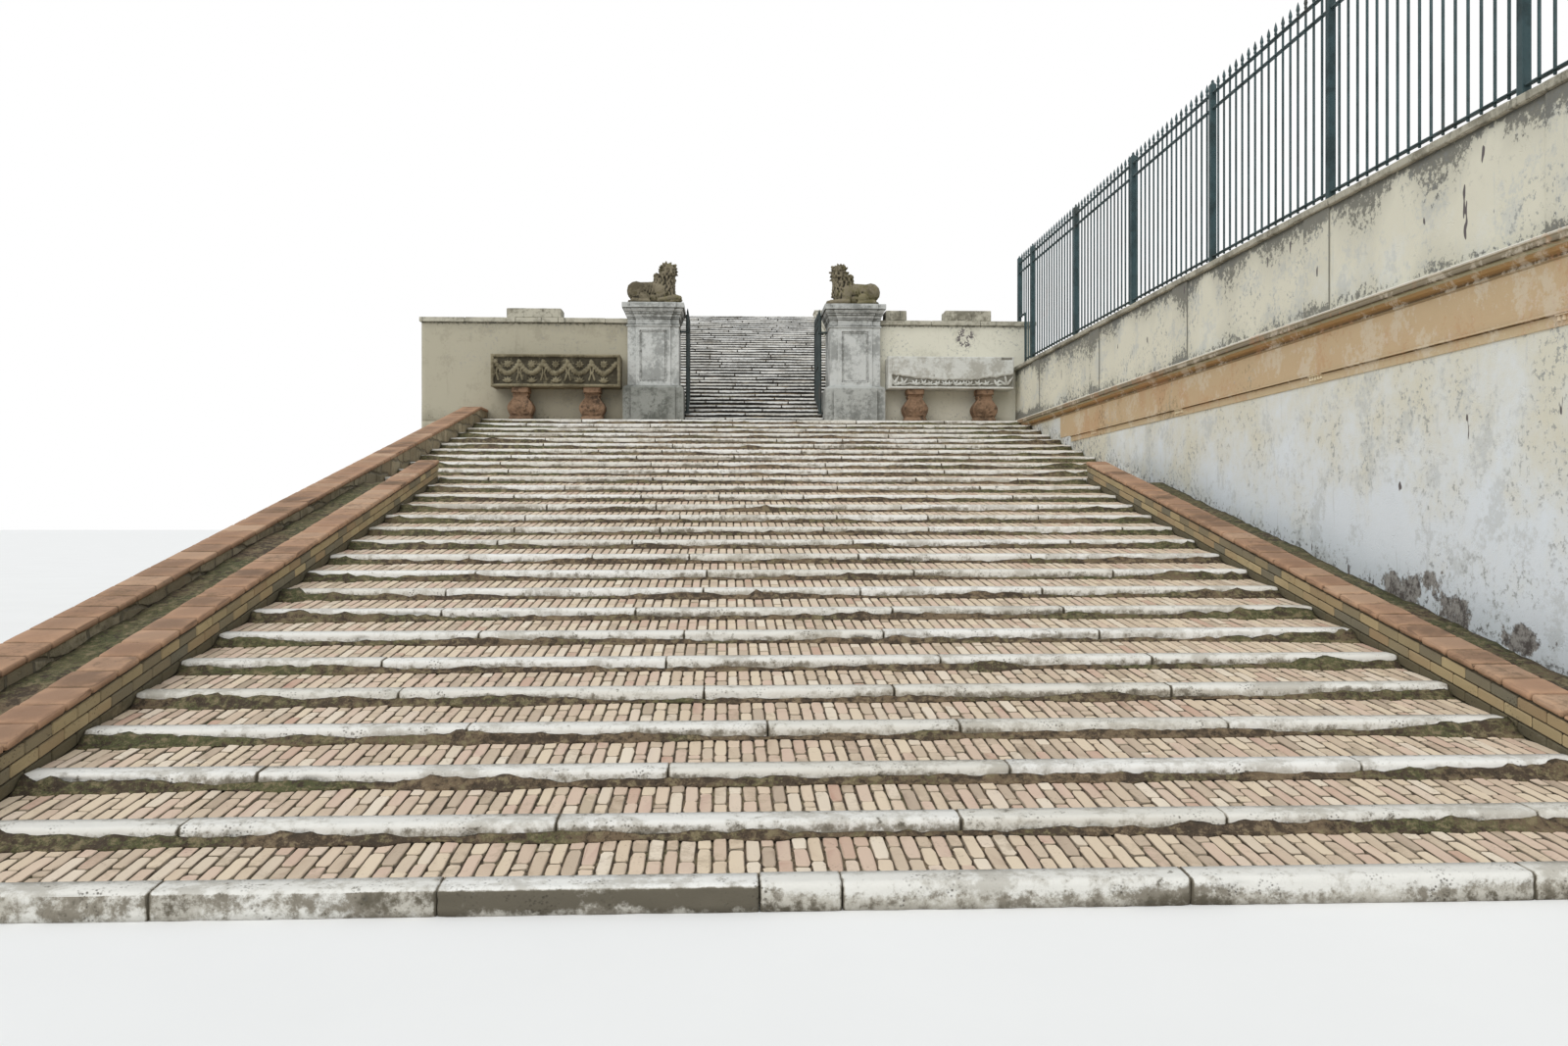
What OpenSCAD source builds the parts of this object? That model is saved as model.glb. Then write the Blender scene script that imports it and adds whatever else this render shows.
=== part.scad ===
// A monumental garden stairway: stone-nosed brick steps, a railed side wall and a gateway with lions.
// The origin lies on the stair's axis, on the ground, at the front of the first nosing.
// X runs to the right, Y runs uphill and Z runs up. All sizes are in millimetres.

/* [Lower flight] */
// Steps in the lower flight, the landing's own nosing included
lower_steps = 28; // [12:1:32]
// Going of a lower step, nosing front to nosing front
lower_going = 620; // [520:10:700]
// Rise of a lower step
lower_riser = 127; // [100:1:140]
// Depth of a nosing stone from front to back
nosing_depth = 160; // [120:5:220]
// Height of a nosing stone at its front, which is also the first step's height
nosing_height = 130; // [125:1:160]
// Radius of a nosing's worn front edge
nosing_round = 34; // [15:1:60]
// How far a brick bed climbs towards the next riser
bed_climb = 44; // [0:1:60]
// Half the width of the steps between the kerbs
kerb_inner_x = 4210; // [3600:10:4500]
// Half the width of the steps above the kerbs, out to the side wall
wall_inner_x = 4900; // [4750:10:5400]
// Steps that lie between the kerbs
kerbed_steps = 17; // [4:1:20]

/* [Kerbs] */
// Thickness of a kerb's brickwork
kerb_thick = 250; // [200:10:300]
// Height of a kerb's brickwork above the nosings
kerb_rise = 160; // [100:10:400]
// Thickness of the rounded coping on a kerb
kerb_coping_thick = 55; // [40:5:90]
// How far that coping stands out on each side
kerb_coping_out = 15; // [5:1:30]
// How far the earth behind a kerb lies below its brickwork's top
earth_drop = 40; // [20:5:150]
// Length over which the earth runs out at its two ends
earth_run_out = 900; // [500:50:1200]
// Thickness of the retaining wall on the left flank
flank_thick = 300; // [200:10:500]

/* [Upper flight] */
// Steps in the upper flight
upper_steps = 39; // [10:1:40]
// Going of an upper step
upper_going = 360; // [330:5:400]
// Rise of an upper step
upper_riser = 111; // [90:1:130]
// Depth of an upper nosing stone
upper_nosing_depth = 130; // [100:5:160]
// How far an upper brick bed climbs towards the next riser
upper_bed_climb = 18; // [0:1:30]
// Half the width of the upper steps beyond the gateway
upper_half_x = 2150; // [1800:10:2400]
// Thickness of the walls that flank the upper steps
upper_flank_thick = 280; // [200:10:320]
// Height of those walls above the nosings
upper_flank_rise = 120; // [60:10:300]
// Thickness of their stone coping
upper_coping_thick = 70; // [50:5:100]
// How far that coping stands out on each side
upper_coping_out = 20; // [0:5:40]
// Depth of the landing on the top
top_landing_depth = 530; // [400:10:900]

/* [Side wall] */
// Thickness of the side wall
wall_thick = 350; // [300:10:600]
// How far the side wall reaches in front of the first nosing
wall_front = 250; // [100:10:600]
// Height of the architrave's underside above the ground
architrave_z = 2970; // [2800:10:3100]
// Height of the architrave band
architrave_height = 100; // [60:5:120]
// How far the architrave's flat band stands out from the wall
architrave_out = 10; // [6:1:20]
// Height of the moulding along the band's top
taenia_height = 20; // [12:1:30]
// How far that moulding stands out from the wall
taenia_out = 32; // [24:1:50]
// Height of the coloured frieze
frieze_height = 340; // [200:10:400]
// How far the frieze's render stands out from the wall
frieze_out = 8; // [4:1:14]
// Height of the moulded cornice
cornice_height = 170; // [120:5:220]
// How far the cornice stands out from the wall
cornice_out = 110; // [70:5:150]
// Height of the parapet between cornice and coping
parapet_height = 960; // [700:10:1200]
// Width of a pilaster strip on the parapet
strip_width = 480; // [300:10:600]
// Distance between strips
strip_pitch = 3380; // [2400:10:4000]
// Number of strips on each side of the wall
strip_count = 5; // [2:1:5]
// Distance from the end wall back to the first strip
strip_back = 1050; // [800:10:1400]
// How far a strip stands out
strip_out = 15; // [8:1:30]
// Thickness of the wall's coping
coping_thick = 70; // [50:5:100]
// How far the coping stands out on each side
coping_out = 40; // [20:5:80]
// Drops on the architrave below each strip
guttae_count = 5; // [3:1:8]
// Distance between drops
gutta_pitch = 50; // [40:1:70]
// Radius of a drop at its foot
gutta_radius = 19; // [12:1:22]
// Height of a drop
gutta_height = 34; // [25:1:40]
// Height of the short fillet that the drops hang from
regula_height = 12; // [6:1:16]

/* [Railing] */
// Whole bays of the railing
railing_bays = 6; // [2:1:6]
// Distance between railing posts
bay_pitch = 2744; // [2000:1:2900]
// Distance from the end wall back to the first railing post
first_post_back = 600; // [400:10:900]
// Width of a square post
post_side = 70; // [50:1:90]
// Side of a square bar
bar_side = 26; // [16:1:32]
// Bars in a whole bay
bars_per_bay = 16; // [8:1:20]
// Height of a bottom rail above the coping
rail_low_z = 150; // [80:5:250]
// Height of the lower of the two top rails
rail_mid_z = 1850; // [1500:10:1900]
// Height of the upper of the two top rails
rail_top_z = 2030; // [1950:10:2100]
// Depth of a flat rail
rail_depth = 44; // [34:1:56]
// Thickness of a flat rail
rail_thick = 16; // [10:1:24]
// Height of the spear tips above the coping
spear_z = 2190; // [2150:10:2400]
// Length of a spear tip
spear_length = 105; // [60:5:115]
// Radius of a spear tip where it begins
spear_radius = 20; // [15:1:26]

/* [End walls] */
// Thickness of the end walls beside the gate
end_thick = 450; // [300:10:600]
// Distance from a pier's front to the end wall's front
end_set_back = 270; // [170:10:400]
// Height of an end wall above the landing, under its coping
end_height = 1820; // [1400:10:1900]
// Thickness of the end walls' coping
end_coping_thick = 90; // [60:5:120]
// How far the left end wall runs past the flank wall
end_left_run = 900; // [300:50:1500]
// Depth of the stone blocks on the coping
block_depth = 420; // [300:10:480]

/* [Gate piers] */
// Clear way between the piers' bases
gate_clear = 2610; // [2300:10:3000]
// Distance from the landing's nosing front to the piers' front
pier_set_back = 340; // [250:10:600]
// Width and depth of a pier's die
die_side = 940; // [800:10:1100]
// Height of the plinth base
base_height = 660; // [500:10:800]
// How far the base stands out from the die
base_out = 85; // [40:5:120]
// Height of the sloped set-off on top of the base
set_off_height = 45; // [20:5:80]
// Height of the die
die_height = 1080; // [800:10:1300]
// Height of the neck above the die
neck_height = 140; // [80:5:200]
// Height of the bead under the neck
bead_height = 30; // [16:1:50]
// How far the bead stands out
bead_out = 20; // [10:1:30]
// Height of the bed mouldings under the cap slab
bed_mould_height = 190; // [120:5:240]
// How far the bed mouldings stand out at their top
bed_mould_out = 75; // [50:5:90]
// Thickness of the cap slab
cap_slab_thick = 100; // [60:5:140]
// How far the cap slab stands out from the die
cap_slab_out = 100; // [80:5:130]
// Width of the strip that breaks forward on each pier
break_width = 640; // [500:10:760]
// How far that strip breaks forward
break_out = 20; // [10:1:40]
// Width of the sunk panel
panel_width = 420; // [300:10:480]
// Height of the sunk panel
panel_height = 870; // [600:10:960]
// Depth of each of the panel's two sinkings
panel_sink = 10; // [5:1:18]
// Width of the border between the two sinkings
panel_border = 32; // [20:1:50]

/* [Lions] */
// Length of a lion's plinth
lion_plinth_length = 1090; // [900:10:1120]
// Width of a lion's plinth
lion_plinth_width = 480; // [380:10:600]
// Thickness of a lion's plinth
lion_plinth_thick = 50; // [30:5:80]
// Length of a lion from its rump to its paws
lion_length = 1060; // [840:10:1070]

/* [Carved chests] */
// Gap between the right chest and the side wall
chest_wall_gap = 140; // [60:10:600]
// Depth of a chest
chest_depth = 470; // [350:10:500]
// Height of a chest
chest_height = 590; // [400:10:700]
// Height of the supports under a chest
support_height = 590; // [400:10:700]
// Depth of a support
support_depth = 380; // [250:10:440]
// Half the width of a support at its belly
support_belly = 240; // [180:5:300]
// Half the width of a support at its neck
support_neck = 130; // [90:5:170]
// Distance between the centres of a chest's supports
support_spread = 1290; // [900:10:1600]
// Gap between a chest and the pier beside it
chest_gap = 25; // [10:5:100]
// Height of the rim along a chest's foot and head
chest_rim = 70; // [40:5:100]
// How far the rims and end frames stand out
chest_rim_out = 24; // [10:1:40]

/* [Gate leaves] */
// Distance from the pier's base to a leaf's hinge axis
hinge_offset = 55; // [45:1:80]
// Distance from the piers' front to the hinge line
hinge_back = 620; // [590:10:700]
// Gap between the two closed leaves
leaf_meeting_gap = 30; // [12:1:60]
// Height of the leaves' top rail above the landing
leaf_top_z = 2040; // [1800:10:2100]
// Distance from the leaves' top rail down to the lower of the two top rails
leaf_rail_drop = 150; // [100:10:250]
// Height of the leaves' waist rail above the landing
leaf_waist_z = 1120; // [900:10:1300]
// Clearance between a leaf's raked foot and the upper nosings
leaf_foot_clear = 60; // [45:5:150]
// How far the heel stile reaches below the leaf's foot rail
heel_below = 10; // [6:1:20]
// Diameter of the heel stile
heel_diameter = 56; // [46:1:64]
// Diameter of the heel where it turns in its collar
collar_pin_diameter = 44; // [32:1:45]
// Diameter of the pintle under the heel
pintle_diameter = 26; // [18:1:32]
// Height of the pintle
pintle_height = 45; // [25:1:70]
// Running clearance round pintle and collar
pin_clearance = 0.5; // [0.3:0.1:1]
// Side of the stile at a leaf's free edge
stile_side = 40; // [30:1:46]
// Bars between a leaf's two stiles
leaf_bars = 9; // [5:1:12]
// Width of a bracket or collar
bracket_width = 84; // [75:1:110]
// Thickness of a bracket or collar
bracket_thick = 30; // [20:1:40]
// Depth of the collar's bracket below the leaves' top rail
collar_drop = 330; // [250:10:400]
// Free height over the pintle in its socket
pintle_room = 4; // [2:1:10]
// Vertical seat gap under the heel
heel_seat = 0.3; // [0.2:0.1:1]

/* [Hidden] */

// Colours of the materials
STONE = [0.74, 0.72, 0.67];
BRICK = [0.76, 0.64, 0.50];
KERB_BRICK = [0.66, 0.52, 0.34];
TERRACOTTA = [0.62, 0.36, 0.24];
PLASTER = [0.86, 0.82, 0.68];
YELLOW_PLASTER = [0.85, 0.78, 0.55];
OCHRE = [0.82, 0.62, 0.36];
EARTH = [0.30, 0.24, 0.17];
LION_STONE = [0.50, 0.40, 0.28];
SUPPORT_STONE = [0.52, 0.36, 0.27];
IRON = [0.13, 0.20, 0.19];

// Steps of the rounded profiles
ARC_STEPS = 6;
// Joint between neighbouring coping stones
coping_joint = 5;
// Length that the lion is drawn at, which is then scaled to lion_length
LION_DRAWN = 1060;

// Lower flight: each nosing lies level on its seat, and its bed climbs from there to the next seat
function lower_y(n) = n * lower_going;
function lower_seat_z(n) = n * lower_riser;
function lower_z(n) = nosing_height + lower_seat_z(n);
function lower_seats(last) = concat(
    [for (n = [0:last - 1]) each [[lower_y(n), lower_seat_z(n)], [lower_y(n) + nosing_depth, lower_seat_z(n)]]],
    [[lower_y(last), lower_seat_z(last)]]
);
// Height of the slope that passes under every nosing's front
function lower_slope_z(y) = y * lower_riser / lower_going;
landing_y = lower_y(lower_steps - 1);
landing_z = lower_z(lower_steps - 1);
landing_bed_y = landing_y + nosing_depth;
kerb_end_y = lower_y(kerbed_steps);
flight_top_line = nosing_height + kerb_rise;

// Piers and end walls, placed from the landing's nosing
pier_front_y = landing_y + pier_set_back;
base_side = die_side + 2 * base_out;
pier_back_y = pier_front_y + base_side + 2 * break_out;
pier_x = gate_clear / 2 + base_side / 2;
pier_y = (pier_front_y + pier_back_y) / 2;
die_z = landing_z + base_height;
neck_z = die_z + die_height;
bed_mould_z = neck_z + neck_height;
cap_slab_z = bed_mould_z + bed_mould_height;
pier_top_z = cap_slab_z + cap_slab_thick;
end_front_y = pier_front_y + end_set_back;
end_back_y = end_front_y + end_thick;
end_top_z = landing_z + end_height;
end_coping_top_z = end_top_z + end_coping_thick;

// Upper flight: two steps lie between the piers, and the rest begin at the piers' back
GATEWAY_STEPS = 2;
upper_front_y = pier_back_y - GATEWAY_STEPS * upper_going;
function upper_y(n) = upper_front_y + n * upper_going;
function upper_z(n) = landing_z + (n + 1) * upper_riser;
function upper_seat_z(n) = landing_z + n * upper_riser;
function upper_seats(first, last) = [
    for (n = [first:last]) each [
        [upper_y(n), upper_seat_z(n)], [upper_y(n) + upper_nosing_depth, upper_seat_z(n)]
    ]
];
top_nosing_y = upper_y(upper_steps - 1);
top_bed_y = top_nosing_y + upper_nosing_depth;
top_end_y = top_bed_y + top_landing_depth;
top_z = upper_z(upper_steps - 1);
function upper_half(n) = n < GATEWAY_STEPS ? gate_clear / 2 : upper_half_x;

// Side wall, from the ground up
wall_outer_x = wall_inner_x + wall_thick;
wall_mid_x = wall_inner_x + wall_thick / 2;
frieze_z = architrave_z + architrave_height;
cornice_z = frieze_z + frieze_height;
parapet_z = cornice_z + cornice_height;
wall_top_z = parapet_z + parapet_height;
coping_top_z = wall_top_z + coping_thick;
// The bands stop where the climbing steps reach them
function step_reaching(z) = ceil((z - nosing_height - lower_riser) / lower_riser);
architrave_end_y = min(lower_y(step_reaching(architrave_z)), end_front_y);
frieze_end_y = min(lower_y(step_reaching(frieze_z)), end_front_y);

// Railing, placed back from the end wall
rail_x = wall_mid_x;
function post_y(i) = end_front_y - first_post_back - i * bay_pitch;
last_post_y = end_back_y - post_side / 2;
bar_pitch = bay_pitch / (bars_per_bay + 1);
STAY_CLEAR = 8;
stay_y = end_front_y - coping_out - STAY_CLEAR - stile_side / 2;

// Chests fill the room between a pier and the side wall
chest_x = pier_x + base_side / 2 + chest_gap;
chest_length = wall_inner_x - chest_wall_gap - chest_x;

// Left flank
flank_outer_x = wall_inner_x + flank_thick;
left_run_x = flank_outer_x + end_left_run;

// Gate leaves
hinge_x = gate_clear / 2 - hinge_offset;
hinge_y = pier_front_y + hinge_back;
leaf_reach = hinge_x - leaf_meeting_gap / 2;
leaf_top = landing_z + leaf_top_z;
// The leaf's foot climbs beside the line that touches the upper nosings
function leaf_foot_z(r) =
    upper_z(0) + (hinge_y + r - upper_front_y) * upper_riser / upper_going + leaf_foot_clear;
heel_foot_z = leaf_foot_z(0) - heel_below;
collar_z = leaf_top - collar_drop;

// A prism with its section in the YZ plane, starting at x0
module yz_prism(points, x0, length) {
    translate([x0, 0, 0])
        rotate([90, 0, 90])
            linear_extrude(length) polygon(points);
}

// A prism with its section in the XZ plane, starting at y0
module xz_prism(points, y0, length) {
    translate([0, y0 + length, 0])
        rotate([90, 0, 0])
            linear_extrude(length) polygon(points);
}

// A box between two corners
module block(low, high) {
    translate(low) cube(high - low);
}

// Points of an arc round c, from angle a0 to a1
function arc(c, r, a0, a1, steps = ARC_STEPS) =
    [for (i = [0:steps]) c + r * [cos(a0 + (a1 - a0) * i / steps), sin(a0 + (a1 - a0) * i / steps)]];

// The same shape again on the left of the axis
module both_sides() {
    children();
    mirror([1, 0, 0]) children();
}

// Section of a nosing stone whose top is at z, laid level at z_seat
function nosing_section(y, z, depth, radius, z_seat) = concat(
    [[y, z_seat]],
    arc([y + radius, z - radius], radius, 180, 90),
    [[y + depth, z], [y + depth, z_seat]]
);

// Mass of masonry and earth under the lower flight and the landing
module lower_core() {
    color(BRICK)
        yz_prism(concat(
            lower_seats(lower_steps - 1),
            [[pier_back_y, lower_seat_z(lower_steps - 1)], [pier_back_y, 0]]
        ), -wall_inner_x, 2 * wall_inner_x);
}

function lower_half(n) = n < kerbed_steps ? kerb_inner_x : wall_inner_x;

// One travertine nosing to a step, from kerb to kerb and then from wall to wall
module lower_nosings() {
    color(STONE)
        for (n = [0:lower_steps - 1]) {
            y = lower_y(n);
            yz_prism(
                nosing_section(y, lower_z(n), nosing_depth, nosing_round, lower_seat_z(n)),
                -lower_half(n), 2 * lower_half(n)
            );
        }
}

// Beds of bricks on edge, each climbing to the foot of the next riser
module lower_brick_beds() {
    color(BRICK)
        for (n = [0:lower_steps - 2]) {
            y0 = lower_y(n) + nosing_depth;
            y1 = lower_y(n + 1);
            yz_prism([
                [y0, lower_seat_z(n)],
                [y1, lower_seat_z(n + 1)],
                [y1, lower_z(n) + bed_climb],
                [y0, lower_z(n)]
            ], -lower_half(n), 2 * lower_half(n));
        }
}

// Paving of the landing that carries the piers and end walls
module landing_paving() {
    color(BRICK)
        block(
            [-wall_inner_x, landing_bed_y, lower_seat_z(lower_steps - 1)],
            [wall_inner_x, pier_back_y, landing_z]
        );
}

// Brickwork of the kerbs, on the same seats as the steps
module kerb_bricks() {
    color(KERB_BRICK)
        both_sides()
            yz_prism(concat(
                lower_seats(kerbed_steps),
                [[kerb_end_y, lower_seat_z(kerbed_steps) + flight_top_line], [0, flight_top_line]]
            ), kerb_inner_x, kerb_thick);
}

// Section across a rounded coping of a given width, lying on z = 0
function coping_section(half, thick) = concat(
    [[-half, 0]],
    arc([-half + thick / 2, thick / 2], thick / 2, 180, 90),
    arc([half - thick / 2, thick / 2], thick / 2, 90, 0),
    [[half, 0]]
);

// A rounded coping that climbs with the lower flight from y0 to y1, on top of a wall at z0
module climbing_coping(x, width, y0, y1, z0) {
    slope = atan2(lower_riser, lower_going);
    translate([x, y0, z0])
        rotate([slope, 0, 0])
            xz_prism(coping_section(width / 2 + kerb_coping_out, kerb_coping_thick), 0, (y1 - y0) / cos(slope));
}

// Rounded terracotta copings on the two kerbs
module kerb_copings() {
    color(TERRACOTTA)
        both_sides()
            climbing_coping(kerb_inner_x + kerb_thick / 2, kerb_thick, 0, kerb_end_y, flight_top_line);
}

// Earth held between each kerb and the wall beside it
module earth_strips() {
    top = flight_top_line - earth_drop;
    color(EARTH)
        both_sides()
            yz_prism(concat(lower_seats(kerbed_steps), [
                [kerb_end_y, lower_z(kerbed_steps)],
                [kerb_end_y - earth_run_out, lower_slope_z(kerb_end_y - earth_run_out) + top],
                [earth_run_out, lower_slope_z(earth_run_out) + top]
            ]), kerb_inner_x + kerb_thick, wall_inner_x - kerb_inner_x - kerb_thick);
}

// Retaining wall along the left flank, level with the kerb beside it
module left_flank_wall() {
    color(PLASTER)
        yz_prism([
            [0, 0],
            [end_front_y, 0],
            [end_front_y, lower_seat_z(lower_steps - 1) + flight_top_line],
            [landing_y, lower_seat_z(lower_steps - 1) + flight_top_line],
            [0, flight_top_line]
        ], -flank_outer_x, flank_thick);
}

// Its coping, climbing and then level beside the landing
module left_flank_coping() {
    x = -wall_inner_x - flank_thick / 2;
    color(TERRACOTTA) {
        climbing_coping(x, flank_thick, 0, landing_y - 2 * coping_joint, flight_top_line);
        translate([x, 0, lower_seat_z(lower_steps - 1) + flight_top_line])
            xz_prism(
                coping_section(flank_thick / 2 + kerb_coping_out, kerb_coping_thick),
                landing_y + 2 * coping_joint, end_front_y - landing_y - 2 * coping_joint
            );
    }
}

// Filling under the two steps between the piers
module gateway_core() {
    color(BRICK)
        yz_prism(concat(
            upper_seats(0, GATEWAY_STEPS - 1),
            [[pier_back_y, upper_seat_z(GATEWAY_STEPS)], [pier_back_y, landing_z]]
        ), -gate_clear / 2, gate_clear);
}

// Mass of masonry and earth under the upper flight
module upper_core() {
    color(BRICK)
        yz_prism(concat(
            upper_seats(GATEWAY_STEPS, upper_steps - 1),
            [[top_end_y, upper_seat_z(upper_steps - 1)], [top_end_y, 0], [pier_back_y, 0]]
        ), -upper_half_x, 2 * upper_half_x);
}

// Nosings of the upper flight; the first one stands flat on the landing
module upper_nosings() {
    color(STONE)
        for (n = [0:upper_steps - 1]) {
            y = upper_y(n);
            yz_prism(
                nosing_section(y, upper_z(n), upper_nosing_depth, nosing_round, upper_seat_z(n)),
                -upper_half(n), 2 * upper_half(n)
            );
        }
}

// Brick beds of the upper flight
module upper_brick_beds() {
    color(BRICK)
        for (n = [0:upper_steps - 2]) {
            y0 = upper_y(n) + upper_nosing_depth;
            y1 = upper_y(n + 1);
            yz_prism([
                [y0, upper_seat_z(n)],
                [y1, upper_seat_z(n + 1)],
                [y1, upper_z(n) + upper_bed_climb],
                [y0, upper_z(n)]
            ], -upper_half(n), 2 * upper_half(n));
        }
}

// Paving behind the topmost nosing
module top_landing() {
    color(BRICK)
        block(
            [-upper_half_x, top_bed_y, upper_seat_z(upper_steps - 1)],
            [upper_half_x, top_end_y, top_z]
        );
}

// Walls that flank the upper flight and run down to the ground
module upper_flank_walls() {
    color(PLASTER)
        both_sides()
            yz_prism([
                [pier_back_y, 0],
                [top_end_y, 0],
                [top_end_y, top_z + upper_flank_rise],
                [top_nosing_y, top_z + upper_flank_rise],
                [pier_back_y, upper_z(GATEWAY_STEPS) + upper_flank_rise]
            ], upper_half_x, upper_flank_thick);
}

// Stone copings on those walls, climbing and then level on the top
module upper_flank_copings() {
    z0 = upper_z(GATEWAY_STEPS) + upper_flank_rise;
    z1 = top_z + upper_flank_rise;
    width = upper_flank_thick + 2 * upper_coping_out;
    color(STONE)
        both_sides() {
            yz_prism([
                [pier_back_y, z0],
                [top_nosing_y, z1],
                [top_nosing_y, z1 + upper_coping_thick],
                [pier_back_y, z0 + upper_coping_thick]
            ], upper_half_x - upper_coping_out, width);
            block(
                [upper_half_x - upper_coping_out, top_nosing_y + coping_joint, z1],
                [upper_half_x - upper_coping_out + width, top_end_y, z1 + upper_coping_thick]
            );
        }
}

// Rendered side wall on the right
module side_wall() {
    color(PLASTER)
        block([wall_inner_x, -wall_front, 0], [wall_outer_x, end_front_y, wall_top_z]);
}

// Draws a shape made for the wall's inner face again on its outer face
module both_faces() {
    children();
    translate([2 * wall_mid_x, 0, 0]) mirror([1, 0, 0]) children();
}

function strip_y(i) = end_front_y - strip_back - strip_width - i * strip_pitch;

// One drop, narrowing upwards, with its foot on z = 0
module gutta() {
    cylinder(h = gutta_height, r1 = gutta_radius, r2 = gutta_radius * 0.45, $fn = 24);
}

// Architrave: a flat band with a moulding along its top, and a row of drops below each strip
module side_architrave() {
    taenia_z = frieze_z - taenia_height;
    regula_z = taenia_z - regula_height;
    row = guttae_count * gutta_pitch;
    color(OCHRE)
        both_faces() {
            xz_prism([
                [wall_inner_x, architrave_z],
                [wall_inner_x - architrave_out, architrave_z],
                [wall_inner_x - architrave_out, taenia_z],
                [wall_inner_x - taenia_out, taenia_z + taenia_height / 4],
                [wall_inner_x - taenia_out, frieze_z],
                [wall_inner_x, frieze_z]
            ], -wall_front, architrave_end_y + wall_front);
            for (i = [0:strip_count - 1])
                if (strip_y(i) + strip_width < architrave_end_y) {
                    y0 = strip_y(i) + (strip_width - row) / 2;
                    block(
                        [wall_inner_x - taenia_out + 2, y0, regula_z],
                        [wall_inner_x - architrave_out / 2, y0 + row, taenia_z + taenia_height / 2]
                    );
                    intersection() {
                        for (k = [0:guttae_count - 1])
                            translate([
                                wall_inner_x - architrave_out - gutta_radius / 2,
                                y0 + gutta_pitch * (k + 0.5),
                                regula_z - gutta_height
                            ]) gutta();
                        block(
                            [wall_inner_x - taenia_out - gutta_radius, y0, regula_z - gutta_height],
                            [wall_inner_x - architrave_out / 2, y0 + row, regula_z]
                        );
                    }
                }
        }
}

// Coloured frieze, a thin coat of render between architrave and cornice
module side_frieze() {
    color(OCHRE)
        both_faces()
            block(
                [wall_inner_x - frieze_out, -wall_front, frieze_z],
                [wall_inner_x, frieze_end_y, cornice_z]
            );
}

// Outline of the cornice: fillet, quarter round, corona and top fillet, with p measured out from the wall
function cornice_outline() = let (h = cornice_height, p = cornice_out) concat(
    [[0, 0], [0.2 * p, 0], [0.2 * p, 0.12 * h]],
    arc([0.2 * p, 0.42 * h], 0.3 * h, -90, 0),
    [
        [0.72 * p, 0.42 * h], [0.72 * p, 0.5 * h], [0.9 * p, 0.5 * h], [0.9 * p, 0.8 * h],
        [p, 0.86 * h], [p, h], [0, h]
    ]
);

// Moulded cornice that dies into the topmost steps
module side_cornice() {
    color(OCHRE)
        difference() {
            both_faces()
                translate([wall_inner_x, 0, cornice_z])
                    mirror([1, 0, 0])
                        xz_prism(cornice_outline(), -wall_front, end_front_y + wall_front);
            for (n = [step_reaching(cornice_z):lower_steps - 1])
                block(
                    [0, lower_y(n), 0],
                    [wall_inner_x, end_back_y, lower_z(n) + (n < lower_steps - 1 ? bed_climb : 0)]
                );
        }
}

// Shallow pilaster strips on the parapet
module side_strips() {
    color(PLASTER)
        both_faces()
            for (i = [0:strip_count - 1])
                block(
                    [wall_inner_x - strip_out, strip_y(i), parapet_z],
                    [wall_inner_x, strip_y(i) + strip_width, wall_top_z]
                );
}

// Coping of the side wall with weathered edges
module side_coping() {
    half = wall_thick / 2 + coping_out;
    edge = coping_thick / 3;
    color(STONE)
        translate([wall_mid_x, 0, wall_top_z])
            xz_prism([
                [-half, 0], [half, 0], [half, coping_thick - edge], [half - edge, coping_thick],
                [-half + edge, coping_thick], [-half, coping_thick - edge]
            ], -wall_front - coping_out, end_front_y + wall_front + coping_out);
}

// A spear tip that stands on z = 0
module spear() {
    cylinder(h = spear_length * 0.3, r1 = spear_radius * 0.55, r2 = spear_radius, $fn = 24);
    translate([0, 0, spear_length * 0.3])
        cylinder(h = spear_length * 0.7, r1 = spear_radius, r2 = 2, $fn = 24);
}

// A square bar with its spear tip, from z0 up to the tip's top at z1
module speared_bar(side, z0, z1) {
    translate([-side / 2, -side / 2, z0]) cube([side, side, z1 - z0 - spear_length]);
    translate([0, 0, z1 - spear_length]) spear();
}

// A flat rail along Y
module rail(y0, y1, z) {
    block([rail_x - rail_depth / 2, y0, z - rail_thick / 2], [rail_x + rail_depth / 2, y1, z + rail_thick / 2]);
}

// Railing posts on the side wall's coping, and the last one on the end wall's coping
module railing_posts() {
    color(IRON) {
        for (i = [0:railing_bays])
            translate([rail_x, post_y(i), 0])
                speared_bar(post_side, coping_top_z, coping_top_z + spear_z);
        translate([rail_x, last_post_y, 0])
            speared_bar(post_side, end_coping_top_z, coping_top_z + spear_z);
    }
}

// One whole bay of bars on three rails, between post i and post i + 1
module railing_panel(i) {
    y0 = post_y(i + 1) + post_side / 2;
    y1 = post_y(i) - post_side / 2;
    color(IRON) {
        for (z = [rail_low_z, rail_mid_z, rail_top_z])
            rail(y0, y1, coping_top_z + z);
        for (k = [1:bars_per_bay])
            translate([rail_x, post_y(i + 1) + k * bar_pitch, 0])
                speared_bar(bar_side, coping_top_z + rail_low_z - rail_thick / 2 - bar_side, coping_top_z + spear_z);
    }
}

module railing_panel_1() { railing_panel(0); }
module railing_panel_2() { railing_panel(1); }
module railing_panel_3() { railing_panel(2); }
module railing_panel_4() { railing_panel(3); }
module railing_panel_5() { railing_panel(4); }
module railing_panel_6() { railing_panel(5); }

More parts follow.
